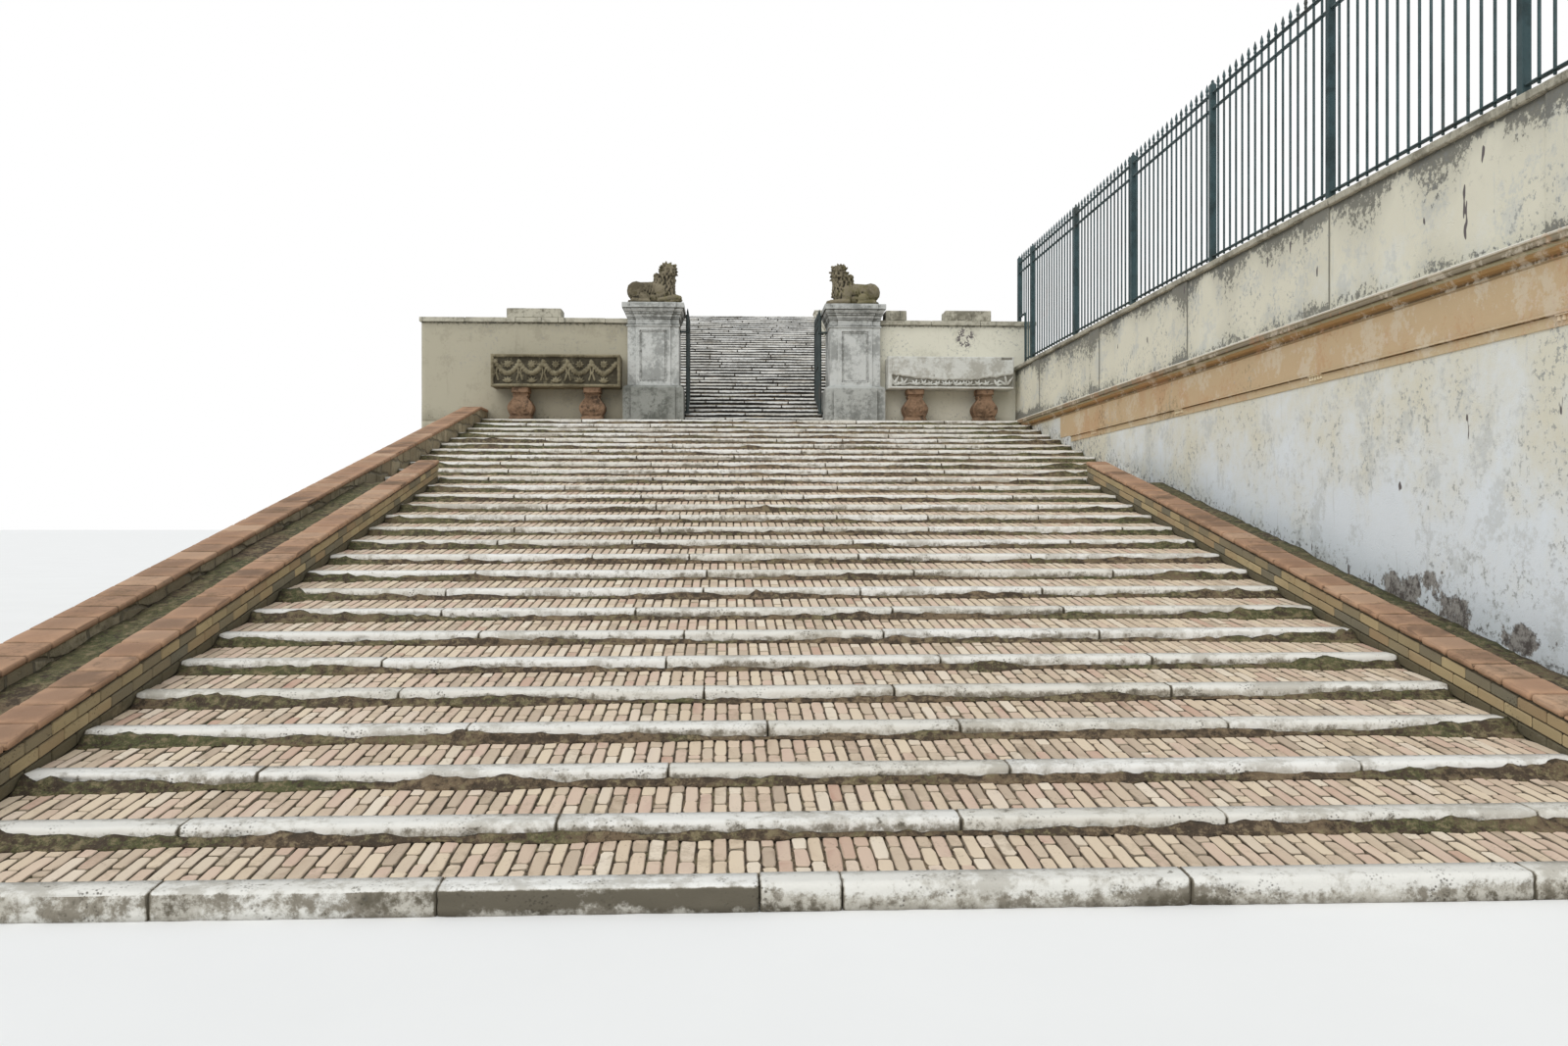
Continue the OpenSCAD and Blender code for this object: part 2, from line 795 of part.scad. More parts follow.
// Short closing panel, which steps up over the end wall's coping
module railing_end_panel() {
    y0 = post_y(0) + post_side / 2;
    y1 = last_post_y - post_side / 2;
    high_rail_z = end_coping_top_z + rail_low_z - coping_top_z;
    count = floor((last_post_y - post_y(0) - bar_pitch / 2) / bar_pitch);
    color(IRON) {
        rail(y0, stay_y, coping_top_z + rail_low_z);
        rail(stay_y, y1, coping_top_z + high_rail_z);
        for (z = [rail_mid_z, rail_top_z])
            rail(y0, y1, coping_top_z + z);
        block(
            [rail_x - stile_side / 2, stay_y - stile_side / 2, coping_top_z],
            [rail_x + stile_side / 2, stay_y + stile_side / 2, coping_top_z + high_rail_z + rail_thick / 2]
        );
        for (k = [1:count])
            translate([rail_x, post_y(0) + k * bar_pitch, 0])
                speared_bar(
                    bar_side,
                    coping_top_z - rail_thick / 2 - bar_side
                        + (post_y(0) + k * bar_pitch < stay_y ? rail_low_z : high_rail_z),
                    coping_top_z + spear_z
                );
    }
}

// Half outline of a pier's lower part: points give how far it stands out from the die, and its height
function base_outline() = [
    [base_out, 0], [base_out, base_height - set_off_height], [base_out / 4, base_height], [0, base_height]
];

// Half outline of the neck and cap, from the top of the die
function cap_outline() = let (m = neck_height + bed_mould_height) concat(
    [[bead_out, 0]],
    [[bead_out, bead_height], [0, bead_height], [0, neck_height], [bead_out / 2, neck_height]],
    arc([bead_out / 2, neck_height + bed_mould_height * 0.45], bed_mould_height * 0.3, -90, 0),
    [[bed_mould_out, m - bed_mould_height * 0.35], [bed_mould_out, m], [cap_slab_out, m]],
    [[cap_slab_out, m + cap_slab_thick]]
);

// Whole outline: the half outline set out from a core half_width wide, and its mirror image
function whole_outline(outline, half_width) = concat(
    [for (p = outline) [half_width + p[0], p[1]]],
    [for (i = [len(outline) - 1:-1:0]) [-half_width - outline[i][0], outline[i][1]]]
);

// A rectangular block whose mouldings are mitred at its corners, made where two extruded outlines meet
module mitred(outline, half_x, half_y) {
    reach = 4 * die_side;
    intersection() {
        xz_prism(whole_outline(outline, half_x), -reach / 2, reach);
        yz_prism(whole_outline(outline, half_y), -reach / 2, reach);
    }
}

// The same with the narrower strip that breaks forward at front and back
module broken_forward(outline) {
    mitred(outline, die_side / 2, die_side / 2);
    mitred(outline, break_width / 2, die_side / 2 + break_out);
}

module pier_base() {
    color(STONE)
        translate([pier_x, pier_y, landing_z])
            broken_forward(base_outline());
}

// The die with a double-sunk panel in front and behind
module pier_die() {
    front = die_side / 2 + break_out;
    color(STONE)
        translate([pier_x, pier_y, die_z])
            difference() {
                union() {
                    block([-die_side / 2, -die_side / 2, 0], [die_side / 2, die_side / 2, die_height]);
                    block([-break_width / 2, -front, 0], [break_width / 2, front, die_height]);
                }
                for (side = [-1, 1], inset = [0, 1])
                    translate([0, side * front, die_height / 2])
                        cube([
                            panel_width + 2 * panel_border * (1 - inset),
                            2 * panel_sink * (1 + inset),
                            panel_height + 2 * panel_border * (1 - inset)
                        ], center = true);
            }
}

// Neck, bed mouldings and cap slab
module pier_cap() {
    color(STONE)
        translate([pier_x, pier_y, neck_z])
            broken_forward(cap_outline());
}

module pier_base_right() { pier_base(); }
module pier_base_left() { mirror([1, 0, 0]) pier_base(); }
module pier_die_right() { pier_die(); }
module pier_die_left() { mirror([1, 0, 0]) pier_die(); }
module pier_cap_right() { pier_cap(); }
module pier_cap_left() { mirror([1, 0, 0]) pier_cap(); }

// What the pier takes out of the end wall and the coping that are built against it
module pier_notch() {
    y0 = end_front_y - 2 * coping_out;
    depth = end_thick + 4 * coping_out;
    translate([pier_x, 0, landing_z]) {
        xz_prism(whole_outline(base_outline(), die_side / 2), y0, depth);
        translate([-die_side / 2, y0, 0]) cube([die_side, depth, base_height + die_height]);
        translate([0, 0, base_height + die_height])
            xz_prism(whole_outline(cap_outline(), die_side / 2), y0, depth);
    }
}

// End wall from a pier out to run_x, with a leg down to the ground beyond leg_x
module end_wall(leg_x, run_x) {
    color(YELLOW_PLASTER)
        difference() {
            xz_prism([
                [pier_x, landing_z], [leg_x, landing_z], [leg_x, 0], [run_x, 0],
                [run_x, end_top_z], [pier_x, end_top_z]
            ], end_front_y, end_thick);
            pier_notch();
        }
}

module end_wall_right() { end_wall(wall_inner_x, wall_outer_x); }
module end_wall_left() { mirror([1, 0, 0]) end_wall(wall_inner_x, left_run_x); }

// Coping of an end wall, up to the pier's neck
module end_coping(run_x) {
    color(STONE)
        difference() {
            block(
                [pier_x, end_front_y - coping_out, end_top_z],
                [run_x + coping_out, end_back_y + coping_out, end_coping_top_z]
            );
            pier_notch();
        }
}

module end_coping_right() { end_coping(wall_outer_x); }
module end_coping_left() { mirror([1, 0, 0]) end_coping(left_run_x); }

// Stone blocks on the end walls' copings: one on the left, two on the right
module coping_blocks() {
    mid_y = (end_front_y + end_back_y) / 2;
    color(STONE)
        for (b = [[-4060, 1000, 180], [4010, 870, 200], [2650, 400, 190]])
            block(
                [b[0] - b[1] / 2, mid_y - block_depth / 2, end_coping_top_z],
                [b[0] + b[1] / 2, mid_y + block_depth / 2, end_coping_top_z + b[2]]
            );
}

// A tapering limb between two balls
module limb(a, ra, b, rb) {
    hull() {
        translate(a) sphere(r = ra, $fn = 14);
        translate(b) sphere(r = rb, $fn = 14);
    }
}

// An egg-shaped form of the given half sizes
module egg(at, half) {
    translate(at) scale([half[0] / 100, half[1] / 100, half[2] / 100]) sphere(r = 100, $fn = 18);
}

// Recumbent lion that looks along +X, on z = 0 and centred on its plinth, drawn LION_DRAWN long
module lion_body() {
    // barrel of the body, with the back level up to the shoulders
    limb([-300, 0, 285], 158, [90, 0, 300], 165);
    limb([-260, 0, 130], 125, [120, 0, 140], 135);
    // mane: a broad column over chest, shoulders and neck
    limb([235, 0, 190], 178, [262, 0, 520], 186);
    egg([268, 0, 660], [178, 172, 182]);
    // skull, brow and muzzle
    limb([300, 0, 700], 112, [350, 0, 680], 92);
    limb([350, 0, 640], 84, [420, 0, 610], 58);
    for (s = [-1, 1]) {
        // ear
        limb([225, s * 112, 800], 34, [215, s * 120, 826], 20);
        // haunch and the hind foot laid forward
        egg([-340, s * 90, 250], [188, 128, 196]);
        limb([-400, s * 168, 52], 54, [-110, s * 176, 44], 44);
        // shoulder, forearm and paw
        egg([150, s * 110, 210], [120, 96, 190]);
        limb([130, s * 150, 66], 62, [410, s * 132, 60], 50);
        limb([410, s * 132, 52], 54, [482, s * 130, 46], 46);
    }
    // tail laid along the flank
    limb([-480, 60, 70], 40, [-360, 205, 40], 30);
}

// Lion carved in one with its plinth
module lion() {
    color(LION_STONE)
        translate([0, pier_y, pier_top_z]) {
            block(
                [-lion_plinth_length / 2, -lion_plinth_width / 2, 0],
                [lion_plinth_length / 2, lion_plinth_width / 2, lion_plinth_thick]
            );
            translate([0, 0, lion_plinth_thick])
                intersection() {
                    scale(lion_length / LION_DRAWN) lion_body();
                    translate([-lion_plinth_length, -lion_plinth_length, -lion_plinth_thick / 2])
                        cube(2 * lion_plinth_length);
                }
        }
}

module lion_left() { translate([-pier_x, 0, 0]) lion(); }
module lion_right() { translate([pier_x, 0, 0]) mirror([1, 0, 0]) lion(); }

// Carved chest against the end wall, with a rim at head and foot and a frame at each end
module chest() {
    z0 = landing_z + support_height;
    front = end_front_y - chest_depth;
    color(STONE)
        translate([chest_x, front, z0]) {
            block([0, chest_rim_out, 0], [chest_length, chest_depth, chest_height]);
            block([0, 0, 0], [chest_length, chest_depth, chest_rim]);
            block([0, 0, chest_height - chest_rim], [chest_length, chest_depth, chest_height]);
            for (x = [0, chest_length - chest_rim])
                block([x, 0, 0], [x + chest_rim, chest_depth, chest_height]);
        }
}

module chest_right() { chest(); }
module chest_left() { mirror([1, 0, 0]) chest(); }

// Half width of a support at a share t of its height: foot, belly, neck and throat under the head
function support_half(t) =
    t < 0.1 ? support_belly * 0.78 :
    t < 0.38 ? support_belly * (0.78 + 0.22 * sin(90 * (t - 0.1) / 0.28)) :
    t < 0.76 ? support_neck + (support_belly - support_neck) * (1 + cos(180 * (t - 0.38) / 0.38)) / 2 :
    support_neck + (support_belly * 0.66 - support_neck) * (1 - cos(90 * (t - 0.76) / 0.08));

SUPPORT_LEVELS = [0, 0.1, 0.15, 0.2, 0.26, 0.32, 0.38, 0.44, 0.5, 0.56, 0.62, 0.69, 0.76, 0.8, 0.84];

// One pot-bellied support with a square head
module support() {
    head = support_belly * 0.7;
    side = [for (t = SUPPORT_LEVELS) [support_half(t), t * support_height]];
    mirrored = [for (i = [len(side) - 1:-1:0]) [-side[i][0], side[i][1]]];
    xz_prism(concat(
        side,
        [[head, 0.84 * support_height], [head, support_height]],
        [[-head, support_height], [-head, 0.84 * support_height]],
        mirrored
    ), 0, support_depth);
}

// Two supports under each chest
module chest_supports() {
    mid_x = chest_x + chest_length / 2;
    color(SUPPORT_STONE)
        both_sides()
            for (s = [-1, 1])
                translate([mid_x + s * support_spread / 2, end_front_y - (chest_depth + support_depth) / 2, landing_z])
                    support();
}

// Pintle bracket below and collar above, let into the pier on the right
module brackets() {
    reach = gate_clear / 2 - hinge_x;
    die_reach = reach + base_out;
    translate([hinge_x, hinge_y, 0]) {
        block(
            [-bracket_width / 2, -bracket_width / 2, heel_foot_z - heel_seat - bracket_thick],
            [reach, bracket_width / 2, heel_foot_z - heel_seat]
        );
        translate([0, 0, heel_foot_z - heel_seat - 1])
            cylinder(h = pintle_height + 1, d = pintle_diameter, $fn = 48);
        difference() {
            block(
                [-bracket_width / 2, -bracket_width / 2, collar_z],
                [die_reach, bracket_width / 2, collar_z + bracket_thick]
            );
            translate([0, 0, collar_z - 1])
                cylinder(h = bracket_thick + 2, d = collar_pin_diameter + 2 * pin_clearance, $fn = 48);
        }
    }
}

module gate_brackets() {
    color(IRON)
        both_sides() brackets();
}

// Heel stile: a round bar, turned down where its collar holds it
module heel() {
    neck_gap = 3;
    upper_z0 = collar_z + bracket_thick + neck_gap;
    translate([0, 0, heel_foot_z])
        cylinder(h = collar_z - neck_gap - heel_foot_z, d = heel_diameter, $fn = 48);
    translate([0, 0, collar_z - neck_gap - 1])
        cylinder(h = bracket_thick + 2 * neck_gap + 2, d = collar_pin_diameter, $fn = 48);
    translate([0, 0, upper_z0])
        cylinder(h = leaf_top + rail_thick / 2 - upper_z0, d = heel_diameter, $fn = 48);
}

// Gate leaf on the right pier, standing open up the steps, its foot raked to clear them
module gate_leaf() {
    pitch = (leaf_reach - stile_side / 2) / (leaf_bars + 1);
    rail_end = leaf_reach - stile_side / 2;
    color(IRON)
        translate([hinge_x, hinge_y, 0])
            difference() {
                union() {
                    heel();
                    for (z = [landing_z + leaf_waist_z, leaf_top - leaf_rail_drop, leaf_top])
                        block(
                            [-rail_depth / 2, 0, z - rail_thick / 2],
                            [rail_depth / 2, rail_end, z + rail_thick / 2]
                        );
                    yz_prism([
                        [0, leaf_foot_z(0)],
                        [rail_end, leaf_foot_z(rail_end)],
                        [rail_end, leaf_foot_z(rail_end) + 2 * rail_thick],
                        [0, leaf_foot_z(0) + 2 * rail_thick]
                    ], -rail_depth / 2, rail_depth);
                    for (k = [1:leaf_bars])
                        translate([0, k * pitch, 0])
                            speared_bar(bar_side, leaf_foot_z(k * pitch) + rail_thick, leaf_top + leaf_rail_drop);
                    translate([0, rail_end, 0])
                        speared_bar(stile_side, leaf_foot_z(rail_end), leaf_top + leaf_rail_drop);
                }
                // socket for the pintle
                translate([0, 0, heel_foot_z - 1])
                    cylinder(h = pintle_height + pintle_room + 1, d = pintle_diameter + 2 * pin_clearance, $fn = 48);
            }
}

module gate_leaf_right() { gate_leaf(); }
module gate_leaf_left() { mirror([1, 0, 0]) gate_leaf(); }

lower_core();
lower_nosings();
lower_brick_beds();
landing_paving();
kerb_bricks();
kerb_copings();
earth_strips();
left_flank_wall();
left_flank_coping();
gateway_core();
upper_core();
upper_nosings();
upper_brick_beds();
top_landing();
upper_flank_walls();
upper_flank_copings();
side_wall();
side_architrave();
side_frieze();
side_cornice();
side_strips();
side_coping();
railing_posts();
railing_panel_1();
railing_panel_2();
railing_panel_3();
railing_panel_4();
railing_panel_5();
railing_panel_6();
railing_end_panel();
end_wall_left();
end_wall_right();
end_coping_left();
end_coping_right();
coping_blocks();
pier_base_left();
pier_base_right();
pier_die_left();
pier_die_right();
pier_cap_left();
pier_cap_right();
lion_left();
lion_right();
chest_left();
chest_right();
chest_supports();
gate_brackets();
gate_leaf_left();
gate_leaf_right();
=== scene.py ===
# %% [markdown]
# # A garden stairway in brick and stone
#
# This lesson dresses the packed model of a monumental garden stairway. The lower flight has brick
# treads behind stone nosings, and it lies between low kerbs and a rendered side wall with a railing.
# A gateway with two lions stands at its top, and a steeper flight climbs on behind the gate.
#
# The packed model gives the frame: every piece made here sits where the frame's own piece sits.

import math
import random
from types import SimpleNamespace

import bmesh
import bpy
import numpy as np
from mathutils import Euler, Matrix, Vector


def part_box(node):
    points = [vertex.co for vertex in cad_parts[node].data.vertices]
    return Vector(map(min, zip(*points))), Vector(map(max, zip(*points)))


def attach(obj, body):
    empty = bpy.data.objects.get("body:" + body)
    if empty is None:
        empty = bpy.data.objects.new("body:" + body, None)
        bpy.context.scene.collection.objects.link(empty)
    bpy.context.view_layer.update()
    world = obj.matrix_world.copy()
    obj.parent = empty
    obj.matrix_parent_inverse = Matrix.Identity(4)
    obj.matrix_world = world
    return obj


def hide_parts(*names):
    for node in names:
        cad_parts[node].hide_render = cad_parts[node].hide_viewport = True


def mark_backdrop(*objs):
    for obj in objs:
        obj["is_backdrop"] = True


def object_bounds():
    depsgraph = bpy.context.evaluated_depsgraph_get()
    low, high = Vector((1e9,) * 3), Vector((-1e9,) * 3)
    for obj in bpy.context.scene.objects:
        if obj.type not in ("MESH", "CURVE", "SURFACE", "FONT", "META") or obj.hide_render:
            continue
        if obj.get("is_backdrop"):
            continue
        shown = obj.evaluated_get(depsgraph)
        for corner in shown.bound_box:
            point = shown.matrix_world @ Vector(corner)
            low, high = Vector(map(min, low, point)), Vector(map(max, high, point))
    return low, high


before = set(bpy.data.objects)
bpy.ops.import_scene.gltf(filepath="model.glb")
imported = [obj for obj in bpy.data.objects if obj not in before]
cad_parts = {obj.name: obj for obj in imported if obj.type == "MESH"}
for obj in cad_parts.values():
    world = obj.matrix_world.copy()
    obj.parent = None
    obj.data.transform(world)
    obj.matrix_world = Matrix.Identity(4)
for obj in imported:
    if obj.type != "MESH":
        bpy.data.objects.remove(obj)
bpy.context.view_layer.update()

# %% [markdown]
# ## Measures
#
# The stairs repeat the same few sizes many times, so those are named once, in metres. They are the
# sizes that the frame's solids were built with, and the boxes of the solids give all the rest.

# %% Measures of the two flights
STEP_GOING, STEP_RISE, LOWER_STEPS = 0.62, 0.127, 28
NOSE_DEPTH, NOSE_HEIGHT, BED_CLIMB = 0.16, 0.13, 0.044
KERBED_STEPS, KERB_WIDTH = 17, 0.25
UPPER_GOING, UPPER_RISE, UPPER_STEPS = 0.36, 0.111, 39
UPPER_NOSE_DEPTH, UPPER_NOSE_HEIGHT, UPPER_BED_CLIMB = 0.13, 0.118, 0.018
GATEWAY_STEPS = 2
BED_DEPTH = 0.07
KERB_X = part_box("kerb_bricks")[1].x - KERB_WIDTH
WALL_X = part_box("lower_core")[1].x
LANDING_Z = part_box("landing_paving")[1].z
UPPER_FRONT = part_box("upper_nosings")[0].y
GATE_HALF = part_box("gateway_core")[1].x
UPPER_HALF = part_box("upper_core")[1].x


def lower_y(n):
    return n * STEP_GOING


def lower_top(n):
    return NOSE_HEIGHT + n * STEP_RISE


def lower_half(n):
    return KERB_X if n < KERBED_STEPS else WALL_X


def upper_y(n):
    return UPPER_FRONT + n * UPPER_GOING


def upper_top(n):
    return LANDING_Z + (n + 1) * UPPER_RISE


def upper_half(n):
    return GATE_HALF if n < GATEWAY_STEPS else UPPER_HALF


print("kerb inside at", round(KERB_X, 3), "wall at", round(WALL_X, 3), "landing at", round(LANDING_Z, 3))

# %% [markdown]
# ## Roughness made of numbers
#
# Old stone is never flat. A smooth random field, read at every point of a mesh, moves the points a
# few millimetres, and the same field in larger waves makes a wall belly in and out. The field is
# a lattice of hashed numbers with smooth steps between them, so it comes out the same on each run.

# %% A smooth random field
def unit(values):
    """Values held between 0 and 1."""
    return np.clip(values, 0, 1)


def lattice(cells, seed):
    h = cells[..., 0] * 73856093 ^ cells[..., 1] * 19349663 ^ cells[..., 2] * 83492791 ^ seed * 374761393
    h = (h ^ (h >> 13)) * 1274126177 & 0x7FFFFFFF
    return ((h ^ (h >> 16)) & 0xFFFF) / 32767.5 - 1.0


def field(points, size, seed=0, octaves=1):
    """Values from about -1 to 1 that wander with the given wavelength in metres."""
    total, weight, scale = 0.0, 0.0, 1.0
    points = np.asarray(points, float)
    for octave in range(octaves):
        p = points * (scale / size) + 31.7 * octave
        base = np.floor(p).astype(np.int64)
        t = p - base
        t = t * t * (3 - 2 * t)
        value = 0.0
        for corner in range(8):
            step = np.array([corner & 1, corner >> 1 & 1, corner >> 2])
            part = np.prod(np.where(step == 1, t, 1 - t), axis=-1)
            value = value + part * lattice(base + step, seed + 7 * octave)
        total = total + value / scale
        weight += 1 / scale
        scale *= 2
    return total / weight


print("field:", field([[0.1, 0.2, 0.3], [5, 6, 7]], 0.5).round(3))

# %% [markdown]
# ## Putting a mesh on the stage
#
# Every piece is one mesh, often joined from hundreds of stones. Two numbers are kept at each point:
# `tone`, which tells one stone from the next, and `wear`, which marks where a surface is worn or
# dirty, and on some pieces also where shade is painted into the colour. The materials read both, so
# that no two bricks have the same colour.

# %% Meshes and pieces
class Pile:
    """Collects points, faces and the two numbers, then becomes one mesh."""

    def __init__(self):
        self.points, self.faces, self.tone, self.wear, self.count = [], [], [], [], 0

    def add(self, points, faces, tone=0.5, wear=0.0):
        points = np.asarray(points, float).reshape(-1, 3)
        self.points.append(points)
        self.faces.extend((np.asarray(f) + self.count).tolist() for f in faces)
        self.tone.append(np.broadcast_to(np.asarray(tone, float), len(points)))
        self.wear.append(np.broadcast_to(np.asarray(wear, float), len(points)))
        self.count += len(points)


def piece(name, pile, finish, replaces=(), body="stairway", smooth=False):
    mesh = bpy.data.meshes.new(name)
    mesh.from_pydata(np.concatenate(pile.points), [], pile.faces)
    for label, values in (("tone", pile.tone), ("wear", pile.wear)):
        layer = mesh.attributes.new(label, "FLOAT", "POINT")
        layer.data.foreach_set("value", np.concatenate(values).astype(np.float32))
    skin = bmesh.new()
    skin.from_mesh(mesh)
    bmesh.ops.recalc_face_normals(skin, faces=skin.faces)
    skin.to_mesh(mesh)
    skin.free()
    if smooth:
        mesh.shade_smooth()
    mesh.materials.append(MATERIALS[finish])
    obj = bpy.data.objects.new(name, mesh)
    bpy.context.scene.collection.objects.link(obj)
    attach(obj, body)
    if replaces:
        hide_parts(*replaces)
    triangles = sum(len(p.vertices) - 2 for p in mesh.polygons)
    print(f"{name}: {triangles} triangles")
    return obj

# %% A block whose faces are grids
def spaced(low, high, cell, corner=0.0):
    """Grid lines from low to high, about a cell apart, with extra lines round the two edges."""
    inner = np.linspace(low + corner, high - corner, max(2, round((high - low - 2 * corner) / cell) + 1))
    if corner <= 0:
        return inner
    return np.concatenate([[low, low + 0.35 * corner], inner, [high - 0.35 * corner, high]])


def shell(xs, ys, zs):
    """Points and quads of a box's six faces, all joined along its edges."""
    grid = np.stack(np.meshgrid(xs, ys, zs, indexing="ij"), -1)
    on_face = np.zeros(grid.shape[:3], bool)
    on_face[[0, -1]] = on_face[:, [0, -1]] = on_face[:, :, [0, -1]] = True
    number = np.full(on_face.shape, -1)
    number[on_face] = np.arange(on_face.sum())

    def quads(side, flip):
        q = np.stack([side[:-1, :-1], side[1:, :-1], side[1:, 1:], side[:-1, 1:]], -1).reshape(-1, 4)
        return q[:, ::-1] if flip else q

    faces = np.concatenate([
        quads(number[0], True), quads(number[-1], False),
        quads(number[:, 0], False), quads(number[:, -1], True),
        quads(number[:, :, 0], True), quads(number[:, :, -1], False),
    ])
    return grid[on_face], faces


print("a plain cube has", len(shell((0, 1), (0, 1), (0, 1))[1]), "faces")

# %% Worn blocks and cut bricks
def worn_block(low, high, cell=0.06, corner=0.012, rough=0.003, wave=0.12, seed=0, chips=0.0):
    """A stone block with rounded, chipped edges and uneven faces, inside the given box."""
    low, high = np.array(low, float), np.array(high, float)
    corner = min(corner, 0.45 * float((high - low).min()))
    points, faces = shell(*(spaced(low[a], high[a], cell, corner) for a in range(3)))
    core = np.clip(points, low + corner, high - corner)
    away = points - core
    length = np.linalg.norm(away, axis=1, keepdims=True)
    reach = np.full(len(points), corner)
    edges = (np.abs(away) > 1e-6).sum(axis=1) > 1
    if chips:
        bite = unit(field(points, wave * 0.6, seed + 3) - 0.25)
        reach = reach - edges * bite * chips
    rounded = core + away / np.maximum(length, 1e-9) * np.minimum(length, reach[:, None])
    rounded = np.where(length > 1e-9, rounded, points)
    shift = np.stack([field(points, wave, seed + a, 2) for a in range(3)], -1) * rough
    on_side = np.abs(away) > corner * 0.9
    return rounded - np.abs(shift) * np.sign(away) * on_side, faces


def chamfered(low, high, cut=0.006):
    """A brick: a box of three cells each way, its twelve edges cut."""
    low, high = np.array(low, float), np.array(high, float)
    points, faces = shell(*(np.array([low[a], low[a] + cut, high[a] - cut, high[a]]) for a in range(3)))
    core = np.clip(points, low + cut, high - cut)
    on_edge = (np.abs(points - core) > 1e-6).sum(axis=1) > 1
    return np.where(on_edge[:, None], core + (points - core) * 0.42, points), faces


print("a worn block of 1 m has", len(worn_block((0, 0, 0), (1, 1, 1))[1]), "faces")

# %% [markdown]
# ## Finishes
#
# Stone, brick and render all share the same few effects: a fine grain, soft blotches and dirt that
# runs down. Each effect is a node group, made once, whose outputs feed the materials. The groups
# work in metres from the piece's own origin, so the grain keeps its size on every piece.

# %% Colours as they show on a screen
def tint(red, green, blue):
    """A colour given as it shows on a screen, 0 to 255, as the shader wants it."""
    parts = [c / 255 for c in (red, green, blue)]
    return tuple(c / 12.92 if c <= 0.04045 else ((c + 0.055) / 1.055) ** 2.4 for c in parts) + (1.0,)


print("mid grey for a shader:", round(tint(128, 128, 128)[0], 3))

# %% Short forms for nodes
class Tree:
    """Short forms for adding nodes to a tree."""

    def __init__(self, tree):
        self.tree = tree

    def node(self, kind, inputs=None, **settings):
        made = self.tree.nodes.new(kind)
        for key, value in settings.items():
            setattr(made, key, value)
        for key, value in (inputs or {}).items():
            if isinstance(value, bpy.types.NodeSocket):
                self.tree.links.new(value, made.inputs[key])
            else:
                made.inputs[key].default_value = value
        return made

    def math(self, operation, a, b=0.0):
        return self.node("ShaderNodeMath", {0: a, 1: b}, operation=operation).outputs[0]

    def times(self, a, b):
        return self.math("MULTIPLY", a, b)

    def plus(self, a, b):
        return self.math("ADD", a, b)

    def minus(self, a, b):
        return self.math("SUBTRACT", a, b)

    def most(self, a, b):
        return self.math("MAXIMUM", a, b)

    def where(self):
        """The point in metres from the piece's own origin."""
        return self.node("ShaderNodeTexCoord").outputs["Object"]

    def parts(self, vector):
        return self.node("ShaderNodeSeparateXYZ", {0: vector}).outputs

    def drawn(self, where, scale):
        """The same point with its axes squeezed, so that a noise is drawn out along the others."""
        return self.node("ShaderNodeMapping", {"Vector": where, "Scale": scale}).outputs[0]

    def noise(self, where, scale, detail=4.0, rough=0.55):
        made = self.node("ShaderNodeTexNoise", {"Vector": where, "Scale": scale, "Detail": detail,
                                                "Roughness": rough})
        return made.outputs["Fac"]

    def band(self, value, low, high):
        """0 below low, 1 above high and a soft step between."""
        made = self.node("ShaderNodeMapRange", {0: value, 1: low, 2: high}, interpolation_type="SMOOTHSTEP")
        return made.outputs[0]

    def mix(self, factor, a, b, blend="MIX"):
        made = self.node("ShaderNodeMix", {0: factor, 6: a, 7: b}, data_type="RGBA", blend_type=blend)
        return made.outputs[2]

    def over(self, base, shade, mask, strength):
        """Lays a colour over the base where the mask is, at the given strength."""
        return self.mix(self.times(mask, strength), base, shade)

    def ramp(self, value, stops):
        made = self.node("ShaderNodeValToRGB", {0: value})
        elements = made.color_ramp.elements
        while len(elements) < len(stops):
            elements.new(0.5)
        for element, (place, shade) in zip(elements, stops):
            element.position, element.color = place, shade
        return made.outputs[0]

    def attribute(self, name):
        return self.node("ShaderNodeAttribute", attribute_name=name).outputs["Fac"]


print("short forms:", [name for name in vars(Tree) if name[0] != "_"])

# %% Shared effects as node groups
def group(name, inputs, outputs, build):
    """A node group of plain numbers, from {input: value} and the names of its outputs."""
    tree = bpy.data.node_groups.new(name, "ShaderNodeTree")
    for label, value in inputs.items():
        socket = tree.interface.new_socket(label, in_out="INPUT", socket_type="NodeSocketFloat")
        socket.default_value = value
    for label in outputs:
        tree.interface.new_socket(label, in_out="OUTPUT", socket_type="NodeSocketFloat")
    t = Tree(tree)
    source = t.node("NodeGroupInput")
    sink = t.node("NodeGroupOutput")
    for label, result in zip(outputs, build(t, source.outputs)):
        tree.links.new(result, sink.inputs[label])
    return tree


def build_grain(t, given):
    where = t.where()
    near = t.node("ShaderNodeVectorMath", {0: where, "Scale": given["Scale"]}, operation="SCALE").outputs[0]
    fine = t.noise(near, 90.0, 5.0, 0.65)
    speckle = t.noise(near, 17.0, 6.0, 0.74)
    blotch = t.noise(near, 2.6, 5.0, 0.6)
    cells = t.node("ShaderNodeTexVoronoi", {"Vector": near, "Scale": 55.0}, feature="F1").outputs["Distance"]
    spread = t.band(t.noise(near, 7.0, 3.0, 0.5), 0.5, 0.72)
    pits = t.times(t.minus(1.0, t.band(cells, 0.12, 0.42)), spread)
    height = t.minus(t.plus(t.times(fine, 0.5), speckle), pits)
    return fine, speckle, blotch, pits, height


def build_weather(t, _):
    where = t.where()
    drawn = t.drawn(where, (6.0, 6.0, 0.7))
    runs = t.band(t.noise(drawn, 1.6, 7.0, 0.68), 0.52, 0.68)
    patches = t.noise(where, 1.1, 8.0, 0.66)
    return runs, patches


